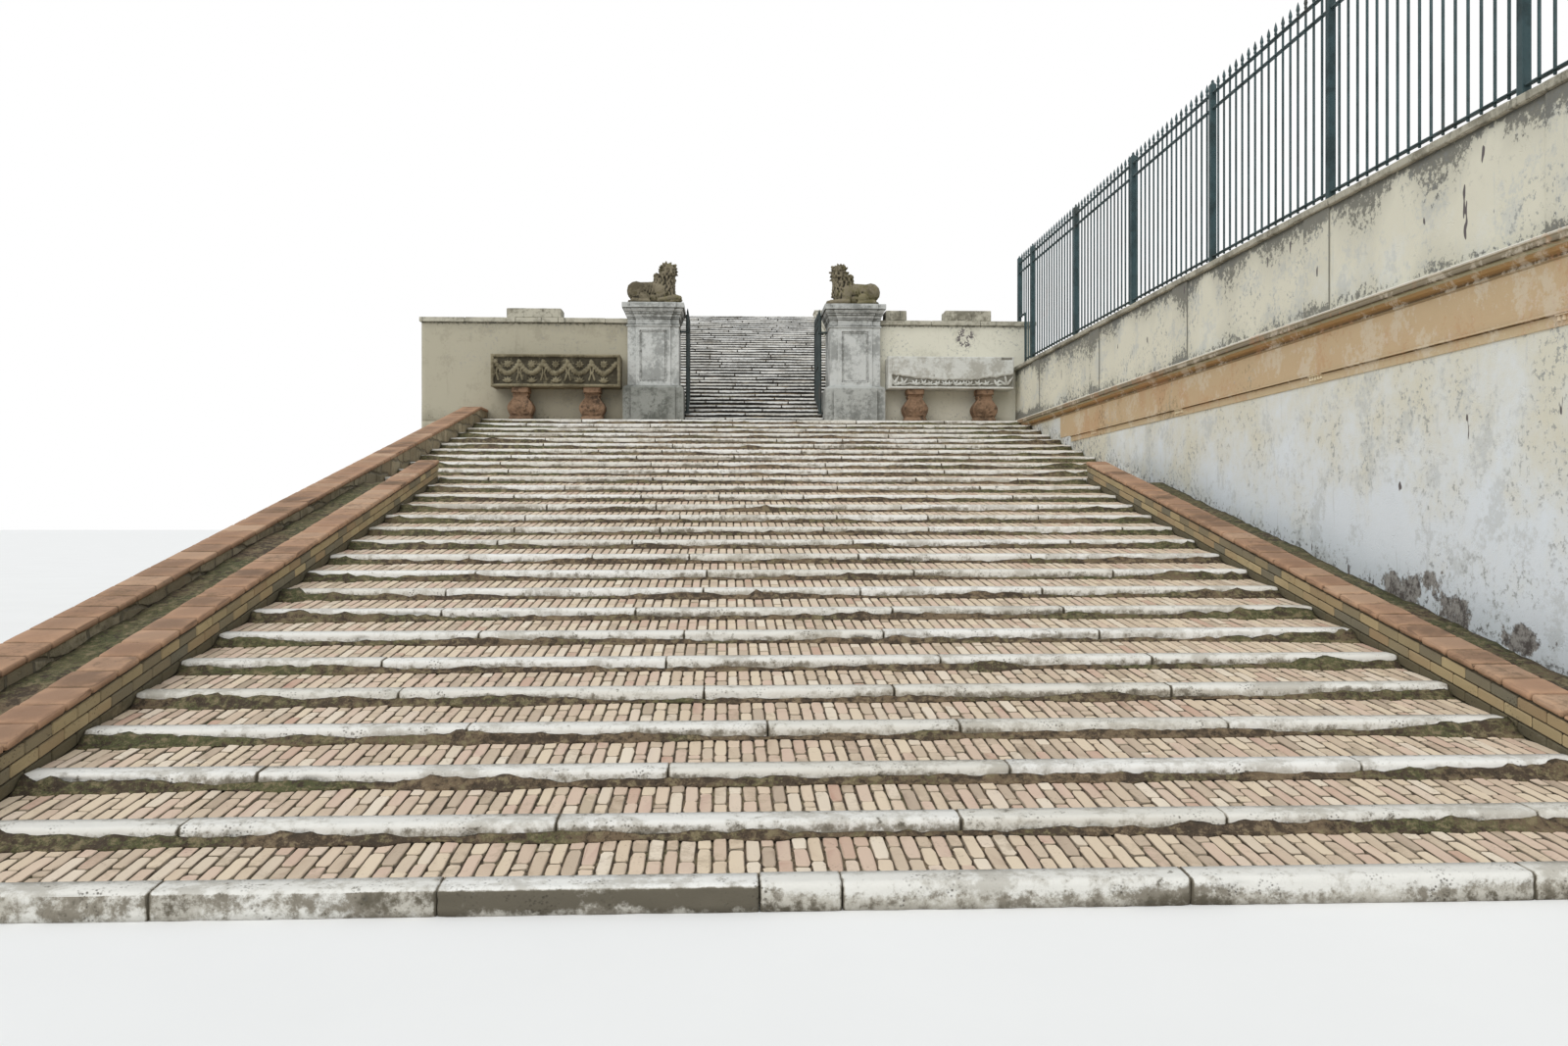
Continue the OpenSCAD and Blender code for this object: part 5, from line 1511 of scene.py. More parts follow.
def pier_die(pile, centre, sign, tone):
    """A plain block with a carved plate on its front and on its back."""
    points, faces = worn_block(centre - (DIE_HALF, DIE_HALF, 0), centre + (DIE_HALF, DIE_HALF, DIE_HEIGHT),
                               0.06, 0.006, 0.004, 0.12, 1310)
    pile.add(points, faces, tone, 0.15)

    def sunk_panel(u, v):
        steps = sum(unit(inside_panel(u, v, border) / ARRIS) for border in (PANEL_BORDER, 0))
        grain = field(np.stack([u, v, np.full_like(u, sign)], -1), 0.07, 1320, 3)
        return PANEL_SINK * steps + 0.001 + 0.003 * np.abs(grain)

    def panel_shade_and_stain(u, v, d):
        # Darker inside the sunk panel and along its two outlines: painted shade in the recess and at its
        # arrises; the spots are stains.
        from_line = np.minimum(*(np.abs(inside_panel(u, v, border)) for border in (0, PANEL_BORDER)))
        deep = unit(d / 0.03) * 0.25 + 0.9 * np.exp(-(from_line / 0.006) ** 2)
        spots = field(np.stack([u, v, np.full_like(u, 3 * sign)], -1), 0.16, 1321, 4)
        return deep + unit(spots) * 0.5

    bends = (-ARRIS, 0, PANEL_BORDER - ARRIS, PANEL_BORDER)
    marks_u, marks_v = ([s * (half + bend) for s in (-1, 1) for bend in bends]
                        for half in (PANEL_WIDTH / 2, PANEL_HEIGHT / 2))
    for facing in (-1, 1):
        relief(pile, centre + (0, facing * (DIE_HALF + FRONT_OUT), DIE_HEIGHT / 2), facing, PLATE_WIDTH,
               PLATE_HEIGHT, 0.03, sunk_panel, 0.05, tone, panel_shade_and_stain, marks_u, marks_v)


print("panel of", PANEL_WIDTH, "by", PANEL_HEIGHT, "m, sunk by", 2 * PANEL_SINK)

# %% Two piers
PIER_X, PIER_Y = 1.86, 17.655
PIER_BASE = [(0.0, 0.0845), (0.02, 0.0845), (0.6, 0.0845), (0.615, 0.083), (0.66, 0.021), (0.66, 0.0)]
PIER_CAP = [(0.0, 0.018), (0.004, 0.02), (0.026, 0.02), (0.03, 0.018), (0.032, 0.0), (0.14, 0.0),
            (0.142, 0.01), (0.168, 0.011), (0.17, 0.02), (0.2, 0.024), (0.226, 0.036), (0.23, 0.044),
            (0.256, 0.047), (0.29, 0.066), (0.306, 0.073), (0.33, 0.0745), (0.332, 0.096),
            (0.336, 0.0985), (0.42, 0.0985), (0.43, 0.094)]
# heights where the cap's mouldings step out, darkened as painted shadow lines
CAP_SHADE_LINES = (0.033, 0.141, 0.17, 0.229, 0.256, 0.331)
for side, sign in (("left", -1), ("right", 1)):
    for part in ("base", "die", "cap"):
        name = f"pier_{part}_{side}"
        pile = Pile()
        centre = np.array([sign * PIER_X, PIER_Y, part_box(name)[0].z])
        if part == "base":
            # The left base has the lower tone, so it is darker: painted shade, as on the left end wall.
            plan_block(pile, centre, levels_of(PIER_BASE, 0.06), 0.045, 0.15 if sign < 0 else 0.4, 0.006)
        elif part == "die":
            pier_die(pile, centre, sign, 0.7)
        else:
            plan_block(pile, centre, levels_of(PIER_CAP, 0.016), 0.05, 0.5, 0.004, CAP_SHADE_LINES)
        piece(f"pier_{part}_stone_{side}", pile, "pier", [name])

# %% [markdown]
# ## The lions
#
# Each lion is carved from one block with its plinth. It could be sculpted by hand; here it is built
# the way a carver blocks it out, from round masses that are blended into one skin by a voxel
# remesh. Locks of mane, paws, brow, eyes and muzzle are masses too, so the carving is real geometry.
# The heads are turned towards the foot of the steps. The right lion mirrors the left, and each gets
# its own locks and its own weathering; the left one holds its forelegs a little higher.

# %% Blending masses into one skin
class Masses:
    """Round masses collected in one mesh, blended by a voxel remesh."""

    def __init__(self):
        self.bm = bmesh.new()

    def egg(self, at, half, turn=(0, 0, 0), detail=2):
        place = Matrix.Translation(at) @ Euler([math.radians(a) for a in turn]).to_matrix().to_4x4()
        bmesh.ops.create_icosphere(self.bm, subdivisions=detail, radius=1.0,
                                   matrix=place @ Matrix.Diagonal((*half, 1)))

    def limb(self, a, ra, b, rb):
        a, b = Vector(a), Vector(b)
        steps = max(2, math.ceil((b - a).length / (0.3 * min(ra, rb))))
        for k in range(steps + 1):
            r = ra + (rb - ra) * k / steps
            self.egg(a.lerp(b, k / steps), (r, r, r))

    def blended(self, voxel, smooth):
        mesh = bpy.data.meshes.new("masses")
        self.bm.to_mesh(mesh)
        self.bm.free()
        obj = bpy.data.objects.new("masses", mesh)
        bpy.context.scene.collection.objects.link(obj)
        remesh = obj.modifiers.new("blend", "REMESH")
        remesh.mode, remesh.voxel_size = "VOXEL", voxel
        soften = obj.modifiers.new("soften", "SMOOTH")
        soften.factor, soften.iterations = 0.5, smooth
        graph = bpy.context.evaluated_depsgraph_get()
        skin = obj.evaluated_get(graph).to_mesh()
        points = np.empty(len(skin.vertices) * 3)
        skin.vertices.foreach_get("co", points)
        faces = [list(p.vertices) for p in skin.polygons]
        normals = np.empty(len(skin.vertices) * 3)
        skin.vertices.foreach_get("normal", normals)
        bpy.data.objects.remove(obj)
        bpy.data.meshes.remove(mesh)
        return points.reshape(-1, 3), normals.reshape(-1, 3), faces


sample = Masses()
sample.egg((0, 0, 0), (1, 1, 1))
print("one egg has", len(sample.bm.faces), "faces")
sample.bm.free()

# %% The lion's head
HEAD, FACING = Vector((0.262, -0.015, 0.62)), -68


def lion_head(m, chance):
    """A head turned towards the foot of the steps, placed (forward, sideways, up) from the skull."""
    turn = Matrix.Rotation(math.radians(FACING), 3, "Z")

    def mass(forward, across, up, half, roll=0.0, pitch=0.0, detail=2):
        m.egg(HEAD + turn @ Vector((forward, across, up)), half, (roll, pitch, FACING), detail)

    mass(0.0, 0, 0.0, (0.13, 0.125, 0.15))
    mass(0.055, 0, 0.07, (0.075, 0.08, 0.06))
    mass(0.10, 0, -0.01, (0.05, 0.034, 0.07), 0, 20)
    mass(0.148, 0, -0.032, (0.034, 0.03, 0.044), 0, 25)
    mass(0.176, 0, -0.052, (0.018, 0.034, 0.017))
    mass(0.112, 0, -0.132, (0.036, 0.036, 0.026))
    for s in (-1, 1):
        mass(0.112, s * 0.048, 0.048, (0.024, 0.040, 0.016), s * 14)
        mass(0.104, s * 0.046, 0.018, (0.018, 0.019, 0.012))
        mass(0.134, s * 0.032, -0.082, (0.042, 0.036, 0.030))
        mass(0.062, s * 0.078, -0.038, (0.055, 0.036, 0.062))
        mass(0.035, s * 0.118, 0.118, (0.02, 0.032, 0.036), s * -40)
    for ring, (forward, reach, count, size) in enumerate(((0.035, 0.138, 13, 0.9), (-0.02, 0.168, 15, 1.1),
                                                          (-0.085, 0.15, 13, 1.15))):
        for k in range(count):
            a = 2 * math.pi * (k + 0.5 * (ring % 2)) / count + chance.uniform(-0.1, 0.1)
            far = reach * (0.94 if abs(a - math.pi) > 1.2 else 1.12)
            big = size * chance.uniform(0.85, 1.2)
            mass(forward, far * math.sin(a), far * math.cos(a), (0.03 * big, 0.021 * big, 0.048 * big),
                 -math.degrees(a) + chance.uniform(-22, 22), chance.uniform(-15, 15), 1)


print("head at", [round(c, 3) for c in HEAD], "turned by", FACING, "degrees")

# %% The lion's body and mane
MANE_ROWS, ROW_LOCKS = 7, 15
PLINTH = 0.05


def lion_masses(seed, lift):
    """A recumbent lion whose body points along +X, its plinth's top at z = 0."""
    chance = random.Random(seed)
    m = Masses()
    m.limb((-0.30, 0, 0.275), 0.150, (0.09, 0, 0.285), 0.156)
    m.limb((-0.26, 0, 0.13), 0.12, (0.12, 0, 0.14), 0.13)
    m.limb((0.215, 0, 0.19), 0.165, (0.245, 0, 0.50), 0.150)
    m.limb((0.12, 0, 0.33), 0.14, (0.19, 0, 0.55), 0.13)
    lion_head(m, chance)
    for s in (-1, 1):
        m.egg((-0.34, s * 0.09, 0.245), (0.182, 0.122, 0.185))
        m.egg((-0.20, s * 0.135, 0.13), (0.13, 0.075, 0.10), (0, 18, 0))
        m.limb((-0.40, s * 0.165, 0.052), 0.05, (-0.11, s * 0.172, 0.044), 0.042)
        m.egg((0.13, s * 0.11, 0.21), (0.115, 0.09, 0.18))
        m.limb((0.10, s * 0.148, 0.066), 0.058, (0.41, s * 0.132, 0.06 + lift), 0.048)
        m.limb((0.41, s * 0.132, 0.052 + lift), 0.05, (0.472, s * 0.13, 0.046 + lift), 0.043)
        m.limb((0.20, s * 0.13, 0.03), 0.05, (0.44, s * 0.125, 0.03 + 0.45 * lift), 0.045)
        for toe in range(4):
            m.egg((0.49, s * 0.13 + (toe - 1.5) * 0.024, 0.034 + lift), (0.032, 0.0135, 0.026))
            m.egg((-0.088, s * 0.172 + (toe - 1.5) * 0.018, 0.03), (0.03, 0.012, 0.022))
        for rib in range(4):
            m.egg((-0.13 + rib * 0.055, s * 0.137, 0.28), (0.012, 0.02, 0.09), (0, 14, 0))
    m.limb((-0.48, 0.06, 0.07), 0.034, (-0.36, 0.20, 0.04), 0.024)
    m.limb((-0.36, 0.20, 0.04), 0.024, (-0.20, 0.215, 0.035), 0.032)
    for row in range(MANE_ROWS):
        z, reach = 0.19 + row * 0.06, 0.158 - 0.003 * row
        for k in range(ROW_LOCKS):
            angle = 2 * math.pi * (k + 0.5 * (row % 2)) / ROW_LOCKS + chance.uniform(-0.12, 0.12)
            back = max(0.0, -math.cos(angle))
            x, y = 0.217 + reach * math.cos(angle) - 0.08 * back, reach * math.sin(angle)
            if back > 0.2 and z < 0.36:
                continue
            big = chance.uniform(0.85, 1.25)
            m.egg((x, y, z), (0.034 * big, 0.024 * big, 0.052 * big),
                  (chance.uniform(-18, 18), -24, math.degrees(angle)), 1)
    return m


print("mane of", MANE_ROWS, "rows with", ROW_LOCKS, "locks in each")

# %% Carving the two lions
def hollowness(points, normals, faces):
    """How far each point lies below the mean of its neighbours, along its normal."""
    faces = np.array(faces)
    pairs = np.concatenate([faces[:, [k, (k + 1) % faces.shape[1]]] for k in range(faces.shape[1])])
    pairs = np.concatenate([pairs, pairs[:, ::-1]])
    count = np.bincount(pairs[:, 0], minlength=len(points)).clip(1)[:, None]

    def mean(values):
        total = np.zeros_like(values)
        np.add.at(total, pairs[:, 0], values[pairs[:, 1]])
        return total / count

    spread = points
    for _ in range(3):
        spread = mean(spread)
    return ((spread - points) * normals).sum(axis=1)


for side, sign, seed, lift in (("left", 1, 5, 0.07), ("right", -1, 6, 0.0)):
    low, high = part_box(f"lion_{side}")
    middle = (low + high) / 2
    points, normals, faces = lion_masses(seed, lift).blended(0.0125, 1)
    sunk = hollowness(points, normals, faces)
    points = points + normals * (0.005 * field(points, 0.11, seed + 1, 3) - 0.003)[:, None]
    points = points - normals * (0.006 * unit(field(points, 0.03, seed, 2)))[:, None]
    points[:, 2] = np.maximum(points[:, 2], -0.01)
    # Wear: noise for stains, higher on faces that look down and in hollows: painted shade under the body and
    # in the carving.
    worn = 0.25 + 0.5 * field(points, 0.13, seed + 2, 4) - 0.25 * normals[:, 2]
    shade = unit(worn + sunk / 0.0055)
    points[:, 0] *= sign
    points = points + (middle.x, middle.y, low.z + PLINTH)
    points = np.clip(points, np.array(low) + 0.0005, np.array(high) - 0.0005)
    pile = Pile()
    pile.add(points, faces, 0.5, shade)
    plinth = worn_block(low, (high.x, high.y, low.z + PLINTH), 0.07, 0.012, 0.004, 0.12, seed, 0.03)
    pile.add(*plinth, 0.5, 0.4)
    piece(f"lion_carved_{side}", pile, "lion", [f"lion_{side}"], smooth=True)

# %% [markdown]
# ## Carved chests and their supports
#
# Two stone chests stand against the end walls on big-bellied supports. The left one is carved all
# over; on the right one the field is worn plain and only a band of leaves is left along the foot.
# It could be sculpted. A height map of overlapping leaves and cords, in our own pattern, needs only
# a few numbers a leaf and wears down evenly.

# %% Carving from overlapping forms
class Carving:
    """A height map on a flat field. Each form is laid over what is there, and the higher one shows."""

    def __init__(self, u, v):
        self.u, self.v, self.high = u, v, np.zeros_like(u)

    def leaf(self, at, length, width, angle, rise, vein=0.25):
        """One pointed leaf."""
        c, s = math.cos(angle), math.sin(angle)
        a = ((self.u - at[0]) * c + (self.v - at[1]) * s) / length
        b = (-(self.u - at[0]) * s + (self.v - at[1]) * c) / width
        outline = 1 - a * a - (b / np.maximum(1 - 0.6 * a, 0.2)) ** 2
        body = np.sqrt(unit(outline))
        self.high = np.maximum(self.high, rise * body * (1 - vein * np.exp(-(b / 0.16) ** 2)))

    def spray(self, x, y, reach, angles, length, width):
        """Leaves that point away from one spot."""
        for a in angles:
            self.leaf((x + reach * math.cos(a), y + reach * math.sin(a)), length, width, a, 0.034)

    def cord(self, path, radius, rise):
        """A round cord along a path of points."""
        best = np.full_like(self.u, 9.0)
        for (x0, y0), (x1, y1) in zip(path, path[1:]):
            dx, dy = x1 - x0, y1 - y0
            t = unit(((self.u - x0) * dx + (self.v - y0) * dy) / (dx * dx + dy * dy))
            best = np.minimum(best, np.hypot(self.u - x0 - t * dx, self.v - y0 - t * dy))
        self.high = np.maximum(self.high, rise * np.sqrt(unit(1 - (best / radius) ** 2)))


field_points = np.linspace(-0.1, 0.1, 9)
sample = Carving(*np.meshgrid(field_points, field_points))
sample.leaf((0, 0), 0.08, 0.04, 0, 0.03)
print("one leaf rises", round(float(sample.high.max()), 3), "m")

# %% Garlands and the foot band
FIELD_HALF, GARLAND_SPAN, GARLAND_PARTS = 1.08, 0.432, 12


def garland_carving(u, v, seed):
    """Five hanging garlands of leaves, with a rosette over each and a palmette below it."""
    chance = random.Random(seed)
    carving = Carving(u, v)
    for bay in range(5):
        x0 = -FIELD_HALF + GARLAND_SPAN * bay
        middle = x0 + GARLAND_SPAN / 2
        turns = [math.pi * k / GARLAND_PARTS for k in range(GARLAND_PARTS + 1)]
        path = [(x0 + GARLAND_SPAN * k / GARLAND_PARTS, 0.14 - 0.19 * math.sin(turn))
                for k, turn in enumerate(turns)]
        carving.cord(path, 0.034, 0.030)
        for at, turn in list(zip(path, turns))[1:-1]:
            slope = math.atan2(-math.cos(turn), 1.3)
            for side in (-1, 1):
                carving.leaf(at, 0.052, 0.024, slope + side * 0.9 + chance.uniform(-0.2, 0.2), 0.040)
        carving.spray(middle, 0.115, 0.042, [2 * math.pi * k / 8 for k in range(8)], 0.036, 0.02)
        carving.leaf((middle, 0.115), 0.02, 0.02, 0, 0.042, 0)
        carving.spray(middle, -0.205, 0.045, [math.radians(20 + 35 * k) for k in range(5)], 0.055, 0.022)
        for side in (-1, 1):
            ribbon = [(x0, 0.15), (x0 + side * 0.03, 0.05), (x0 + side * 0.015, -0.05),
                      (x0 + side * 0.05, -0.17)]
            carving.cord(ribbon, 0.016, 0.022)
        carving.leaf((x0, 0.155), 0.045, 0.045, 0, 0.04, 0)
    return carving.high


def foot_band_carving(u, v, seed):
    """A band of curling leaves along the foot and what is left of a stem above it."""
    chance = random.Random(seed)
    carving = Carving(u, v)
    x = -1.05
    while x < 1.06:
        growth = 0.8 + 0.9 * (x / FIELD_HALF) ** 2
        size, lean = chance.uniform(0.75, 1.2) * growth, chance.uniform(-0.5, 0.5)
        for blade in (-0.85, 0, 0.85):
            bend = math.pi / 2 - blade + lean
            at = (x + 0.055 * size * math.cos(bend), -0.225 + 0.06 * size * math.sin(bend))
            carving.leaf(at, 0.062 * size, 0.019 * growth ** 0.5, bend, 0.038)
        x += chance.uniform(0.1, 0.17) * growth
    wave = [(-FIELD_HALF + 0.045 * k, -0.205 + 0.014 * math.sin(k * 1.1)) for k in range(49)]
    carving.cord(wave, 0.015, 0.02)
    return carving.high


print("carved field of", 2 * FIELD_HALF, "m, a garland each", GARLAND_SPAN)

# %% Two carved chests
CHEST_RIM = 0.065
CHESTS = (("left", -1, "chest_brown", garland_carving), ("right", 1, "chest", foot_band_carving))
for side, sign, finish, carving in CHESTS:
    low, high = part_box(f"chest_{side}")
    centre, size = (low + high) / 2, high - low
    pile = Pile()
    pile.add(*worn_block((low.x + 0.001, low.y + 0.058, low.z + 0.001),
                         (high.x - 0.001, high.y - 0.001, high.z - 0.001),
                         0.09, 0.012, 0.004, 0.12, 1400, 0.03), 0.5, 0.3)

    def noise(u, v, wave, seed, octaves=3):
        return field(np.stack([u, v, np.full_like(u, sign)], -1), wave, seed, octaves)

    def low_band(u, v):
        line = -0.12 + 0.11 * (u / 1.1) ** 2 + 0.03 * noise(u, v, 0.12, 1409)
        return unit((line - v) / 0.03)

    def carved(u, v):
        edge = np.minimum(size.x / 2 - np.abs(u), size.z / 2 - np.abs(v))
        within, ground = edge + 0.02, 0.044
        if sign > 0:
            within = np.minimum(size.x / 2 + u, size.z / 2 + v + 0.03)
            break_line = v - size.z / 2 + 0.07 + 0.02 * noise(u, v, 0.08, 1407)
            gone = unit((u - size.x / 2 + 0.24) / 0.03) * unit(break_line / 0.015)
            ground = 0.012 + 0.038 * low_band(u, v) + 0.034 * gone * (u < size.x / 2 - 0.03)
        field_share = unit((within + 0.006 * noise(u, v, 0.09, 1404) - CHEST_RIM) / 0.012)
        worn = 1 - (0.45 if sign < 0 else 0.2) * unit(noise(u, v, 0.4, 1401, 2))
        inner = ground - carving(u, v, 1402) * worn + 0.0045 * noise(u, v, 0.05, 1400)
        inner = np.maximum(inner, 0.003 + 0.002 * noise(u, v, 0.07, 1408))
        arris = 0.014 * unit(1 - edge / 0.016) ** 2
        arris = arris + 0.012 * unit(noise(u, v, 0.13, 1405) - 0.3)
        lip = 0.002 + 0.0025 * np.abs(noise(u, v, 0.05, 1406)) + arris
        return lip + (np.maximum(inner, lip) - lip) * field_share

    def carved_shade_and_stain(u, v, d):
        # Darker where the carving is deep: painted shade in the ground between the leaves; the noise adds
        # stains.
        ground = unit((d - 0.025) / 0.02) * (0.85 if sign < 0 else 1.1)
        return ground + 0.3 * noise(u, v, 0.2, 1403)

    relief(pile, (centre.x, low.y, centre.z), -1, size.x, size.z, 0.0118, carved, 0.059, 0.5, carved_shade_and_stain)
    piece(f"chest_carved_{side}", pile, finish, [f"chest_{side}"], smooth=True)

# %% Big-bellied supports
low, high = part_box("chest_supports")
mid_y, tall = (low.y + high.y) / 2, high.z - low.z
SUPPORTS_X, SQUARENESS = (-4.245, -2.955, 2.955, 4.245), 8
# height share and half width: plinth, notch, belly, shoulder, neck, scroll, throat, head
OUTLINE = [(0, 0.205), (0.09, 0.208), (0.1, 0.196), (0.14, 0.19), (0.2, 0.208), (0.28, 0.23), (0.35, 0.24),
           (0.42, 0.237), (0.5, 0.215), (0.58, 0.181), (0.65, 0.147), (0.7, 0.131), (0.73, 0.137),
           (0.77, 0.152), (0.79, 0.138), (0.82, 0.132), (0.84, 0.138), (0.842, 0.16), (1.0, 0.164)]
SHARES = [*np.linspace(0, 0.83, 42), 0.84, 0.842, 0.87, 0.9, 0.93, 0.96, 0.985, 1.0]
# a rounded square, with most of its points on the front
a = np.concatenate([np.linspace(-0.06, math.pi + 0.06, 13), np.linspace(math.pi, 2 * math.pi, 51)[2:-2]])
c, s = np.cos(a), np.sin(a)
r = (np.abs(c) ** SQUARENESS + np.abs(s) ** SQUARENESS) ** (-1 / SQUARENESS)


def support_ring(x, t, seed):
    """The ring of a support at a share of its height, its front and back sunk round a spray of leaves."""
    half = float(np.interp(t, *zip(*OUTLINE))) - (0.004 if t in (0, 1.0) else 0)
    bulge = 0.19 if t >= 0.84 or t < 0.1 else 0.15 + 0.038 * math.sin(math.pi * min(1, (t - 0.1) / 0.6))
    u = half * r * c
    ring = np.column_stack([x + u, mid_y + bulge * r * s, np.full(len(a), low.z + t * tall)])
    carving = Carving(u, np.full(len(a), (t - 0.38) * tall))
    for blade in range(-3, 4):
        angle = math.pi / 2 + blade * 0.5
        carving.leaf((0.055 * math.cos(angle), 0.10 * math.sin(angle) - 0.12), 0.11, 0.03, angle, 0.02)
    rim = unit((np.abs(u) - half + 0.032) / 0.008)
    sunk = np.maximum(0.002, 0.018 - np.maximum(carving.high, 0.016 * rim))
    cut = np.where((np.abs(s) * r > 0.6) & (t > 0.14) & (t < 0.8), sunk, 0.002)
    ring[:, 1] -= np.sign(s) * (cut + 0.004 * np.abs(field(ring, 0.06, seed, 3)) + 0.0005)
    ring[:, 0] -= np.sign(c) * 0.003 * np.abs(field(ring, 0.06, 1520, 2)) + np.sign(c) * 0.0005
    return ring


pile = Pile()
for number, x in enumerate(SUPPORTS_X):
    rings = np.array([support_ring(x, t, 1500 + number) for t in SHARES])
    dirt = unit(0.3 + 0.8 * field(rings, 0.18, 1530, 3))
    pile.add(rings, swept(rings), 0.5, dirt.reshape(-1))
piece("chest_support_stones", pile, "support", ["chest_supports"], smooth=True)

# %% [markdown]
# ## Gate leaves
#
# The two leaves stand open along the flight. Each turns on its heel stile, so its mesh rides on
# its own body of the frame. The foot of a leaf rakes up with the steps below it. The bars could be
# drawn anew; the railing's are used again, because both are the same kind of forged work.

# %% Gate leaves
HINGE_X, HINGE_Y, LEAF_REACH = 1.25, 17.70, 1.235
LEAF_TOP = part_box("gate_leaf_right")[1].z - 0.15
RAIL_END, LEAF_BARS, STILE_HALF, FOOT_CLEAR = LEAF_REACH - 0.02, 9, 0.0195, 0.06


def leaf_foot(r):
    climb = (HINGE_Y + r - UPPER_FRONT) * UPPER_RISE / UPPER_GOING
    return LANDING_Z + UPPER_RISE + climb + FOOT_CLEAR


for side, sign in (("left", -1), ("right", 1)):
    x, near, far = sign * HINGE_X, HINGE_Y + 0.012, HINGE_Y + RAIL_END
    pile = Pile()
    foot, collar = leaf_foot(0) - 0.01, LEAF_TOP - 0.33
    heel = [(foot + 0.049, 0.0135), (foot, 0.0135), (foot, 0.0275), (foot + 0.003, 0.028),
            (collar - 0.004, 0.028), (collar - 0.003, 0.022), (collar + 0.033, 0.022),
            (collar + 0.034, 0.028), (LEAF_TOP + 0.006, 0.028), (LEAF_TOP + 0.008, 0.026)]
    rod(pile, x, HINGE_Y, heel, 24)
    for z in (LANDING_Z + 1.12, LEAF_TOP - 0.15, LEAF_TOP):
        rail(pile, x, near, far, z)
    points, faces = worn_block((x - RAIL_HALF_WIDTH, near, 0), (x + RAIL_HALF_WIDTH, far, 0.032),
                               0.2, 0.003, 0.0008)
    points[:, 2] += leaf_foot(points[:, 1] - HINGE_Y)
    pile.add(points, faces, 0.5, 0.3)
    for k in range(1, LEAF_BARS + 1):
        reach = k * (RAIL_END / (LEAF_BARS + 1))
        spear_bar(pile, x, HINGE_Y + reach, leaf_foot(reach) + 0.016, LEAF_TOP + 0.15)
    flat_bar(pile, (x - STILE_HALF, far - STILE_HALF, leaf_foot(RAIL_END) + 0.001),
             (x + STILE_HALF, far + STILE_HALF, LEAF_TOP + 0.045))
    rod(pile, x, far, [(LEAF_TOP + 0.044, 0.02), (LEAF_TOP + 0.075, 0.0195), (LEAF_TOP + 0.11, 0.013),
                       (LEAF_TOP + 0.15, 0.0012)])
    piece(f"gate_leaf_bars_{side}", pile, "gate_iron", [f"gate_leaf_{side}"], f"leaf_{side}")

# %% [markdown]
# ## Flank walls of the upper flight
#
# Low rendered walls with sloping copings run beside the upper flight. The end walls hide them in
# the photo, so their form is a guess, and they are made as simply as the left flank wall.

# %% Upper flank walls and copings
low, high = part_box("upper_flank_walls")
TOP_NOSE_Y = upper_y(UPPER_STEPS - 1)


def upper_line(y):
    return high.z - np.maximum(TOP_NOSE_Y - y, 0) * UPPER_RISE / UPPER_GOING


walls, copes = Pile(), Pile()
for sign in (-1, 1):
    xs = sorted((sign * UPPER_HALF, sign * high.x))
    a, b = Vector((xs[0], low.y, 0)), Vector((xs[1], high.y, high.z))
    points, faces = shell_under(a, b, lambda y: upper_line(y) - 0.002, 0.16, 22, 1600, 0.006)
    walls.add(points, faces, 0.2, 0.1 + 0.5 * unit(field(points, 0.6, 1601, 3)))
    marks = joints(low.y, TOP_NOSE_Y, rng, 0.8, 1.2) + joints(TOP_NOSE_Y + 0.004, high.y, rng, 0.8, 1.2)[1:]
    for k, (y0, y1) in enumerate(zip(marks, marks[1:])):
        points, faces = worn_block((xs[0] - 0.019, y0 + 0.003, 0.001), (xs[1] + 0.019, y1 - 0.002, 0.068),
                                   0.13, 0.012, 0.003, 0.14, 1620 + k, 0.02)
        points[:, 2] += upper_line(points[:, 1])
        copes.add(points, faces, rng.random(), 0.2 + 0.3 * rng.random())
piece("upper_flank_render", walls, "end_wall", ["upper_flank_walls"], smooth=True)
piece("upper_flank_slabs", copes, "coping", ["upper_flank_copings"])

# %% [markdown]
# ## The frame's own pieces, the light and the camera
#
# The frame still shows the cores behind the steps and the gate's brackets. They get the finish that
# belongs to them, so that nothing is left in a single flat colour.

# %% Finishes on the frame's own pieces
SHOWN = {"lower_core": "masonry", "gateway_core": "masonry", "upper_core": "masonry",
         "gate_brackets": "gate_iron"}
for name, finish in SHOWN.items():
    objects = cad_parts[name]
    for obj in objects if isinstance(objects, (list, tuple)) else [objects]:
        for place in obj.material_slots:
            place.material = MATERIALS[finish]
print("frame pieces finished:", *SHOWN)

# %% [markdown]
# A wide pale floor catches the shadow. The background is white only to the camera, so that it adds
# no light of its own. The light is soft and comes from the sky, as on the overcast day of the photo.

# %% Background
scene = bpy.context.scene


def seen_straight(t):
    """1 where the camera, a reflection or a clear surface looks at the backdrop."""
    path = t.node("ShaderNodeLightPath").outputs
    return t.most(path["Is Camera Ray"], t.most(path["Is Glossy Ray"], path["Is Transmission Ray"]))


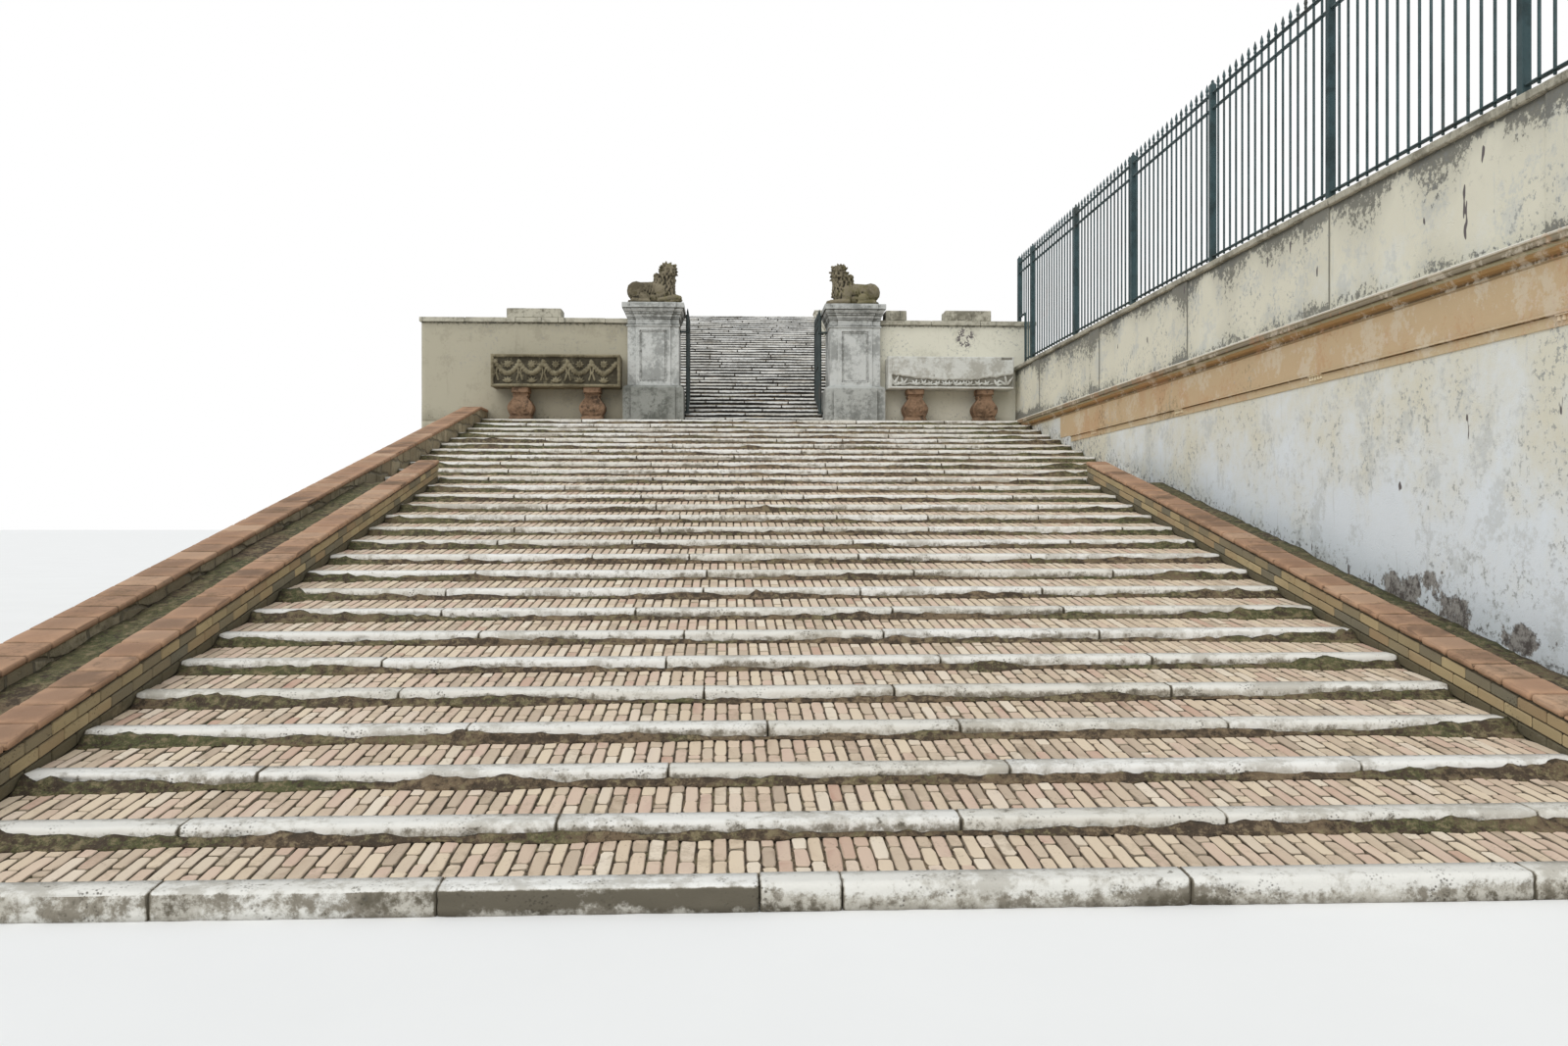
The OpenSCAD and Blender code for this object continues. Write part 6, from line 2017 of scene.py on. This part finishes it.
world = bpy.data.worlds.new("Pale sky")
scene.world = world
world.use_nodes = True
t = Tree(world.node_tree)
world.node_tree.nodes.clear()
soft = t.node("ShaderNodeBackground", {"Color": (0.92, 0.96, 1.0, 1.0), "Strength": 0.6})
plain = t.node("ShaderNodeBackground", {"Color": (1.0, 1.0, 1.0, 1.0), "Strength": 1.0})
either = t.node("ShaderNodeMixShader", {0: seen_straight(t), 1: soft.outputs[0], 2: plain.outputs[0]})
t.node("ShaderNodeOutputWorld", {"Surface": either.outputs[0]})

print("background:", world.name)

# %% Floor and light
floor_material = bpy.data.materials.new("Pale floor")
floor_material.use_nodes = True
t = Tree(floor_material.node_tree)
ground = floor_material.node_tree.nodes["Principled BSDF"]
where = t.where()
base = t.mix(t.noise(where, 0.6), (0.80, 0.80, 0.79, 1.0), (0.86, 0.86, 0.85, 1.0))
floor_material.node_tree.links.new(base, ground.inputs["Base Color"])
ground.inputs["Roughness"].default_value = 0.95

floor_mesh = bpy.data.meshes.new("floor")
floor_mesh.from_pydata([(-300, -300, 0), (300, -300, 0), (300, 300, 0), (-300, 300, 0)], [], [(0, 1, 2, 3)])
floor_mesh.materials.append(floor_material)
floor = bpy.data.objects.new("floor", floor_mesh)
scene.collection.objects.link(floor)
floor.location.z = -0.002

sun_data = bpy.data.lights.new("high sky", "SUN")
sun_data.energy = 2.0
sun_data.angle = math.radians(70)
sun_data.color = (1.0, 0.99, 0.97)
sun = bpy.data.objects.new("high sky", sun_data)
scene.collection.objects.link(sun)
sun.rotation_euler = (math.radians(38), math.radians(-24), 0)
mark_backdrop(floor, sun)
print("light:", sun.name, "of strength", sun_data.energy)

# %% Camera
FOCAL_PIXELS, PHOTO_WIDTH, SENSOR = 1244, 1600, 36
camera_data = bpy.data.cameras.new("photo view")
camera_data.sensor_width = SENSOR
camera_data.lens = FOCAL_PIXELS / PHOTO_WIDTH * SENSOR
camera_data.clip_end = 300
camera = bpy.data.objects.new("photo view", camera_data)
scene.collection.objects.link(camera)
camera.location = (-0.54, -5.29, 1.69)
camera.rotation_euler = (math.radians(90), 0, math.radians(-2.76))
scene.camera = camera
scene.view_settings.view_transform = "Standard"

low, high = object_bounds()
print("scene box", [round(c, 3) for c in (*low, *high)])
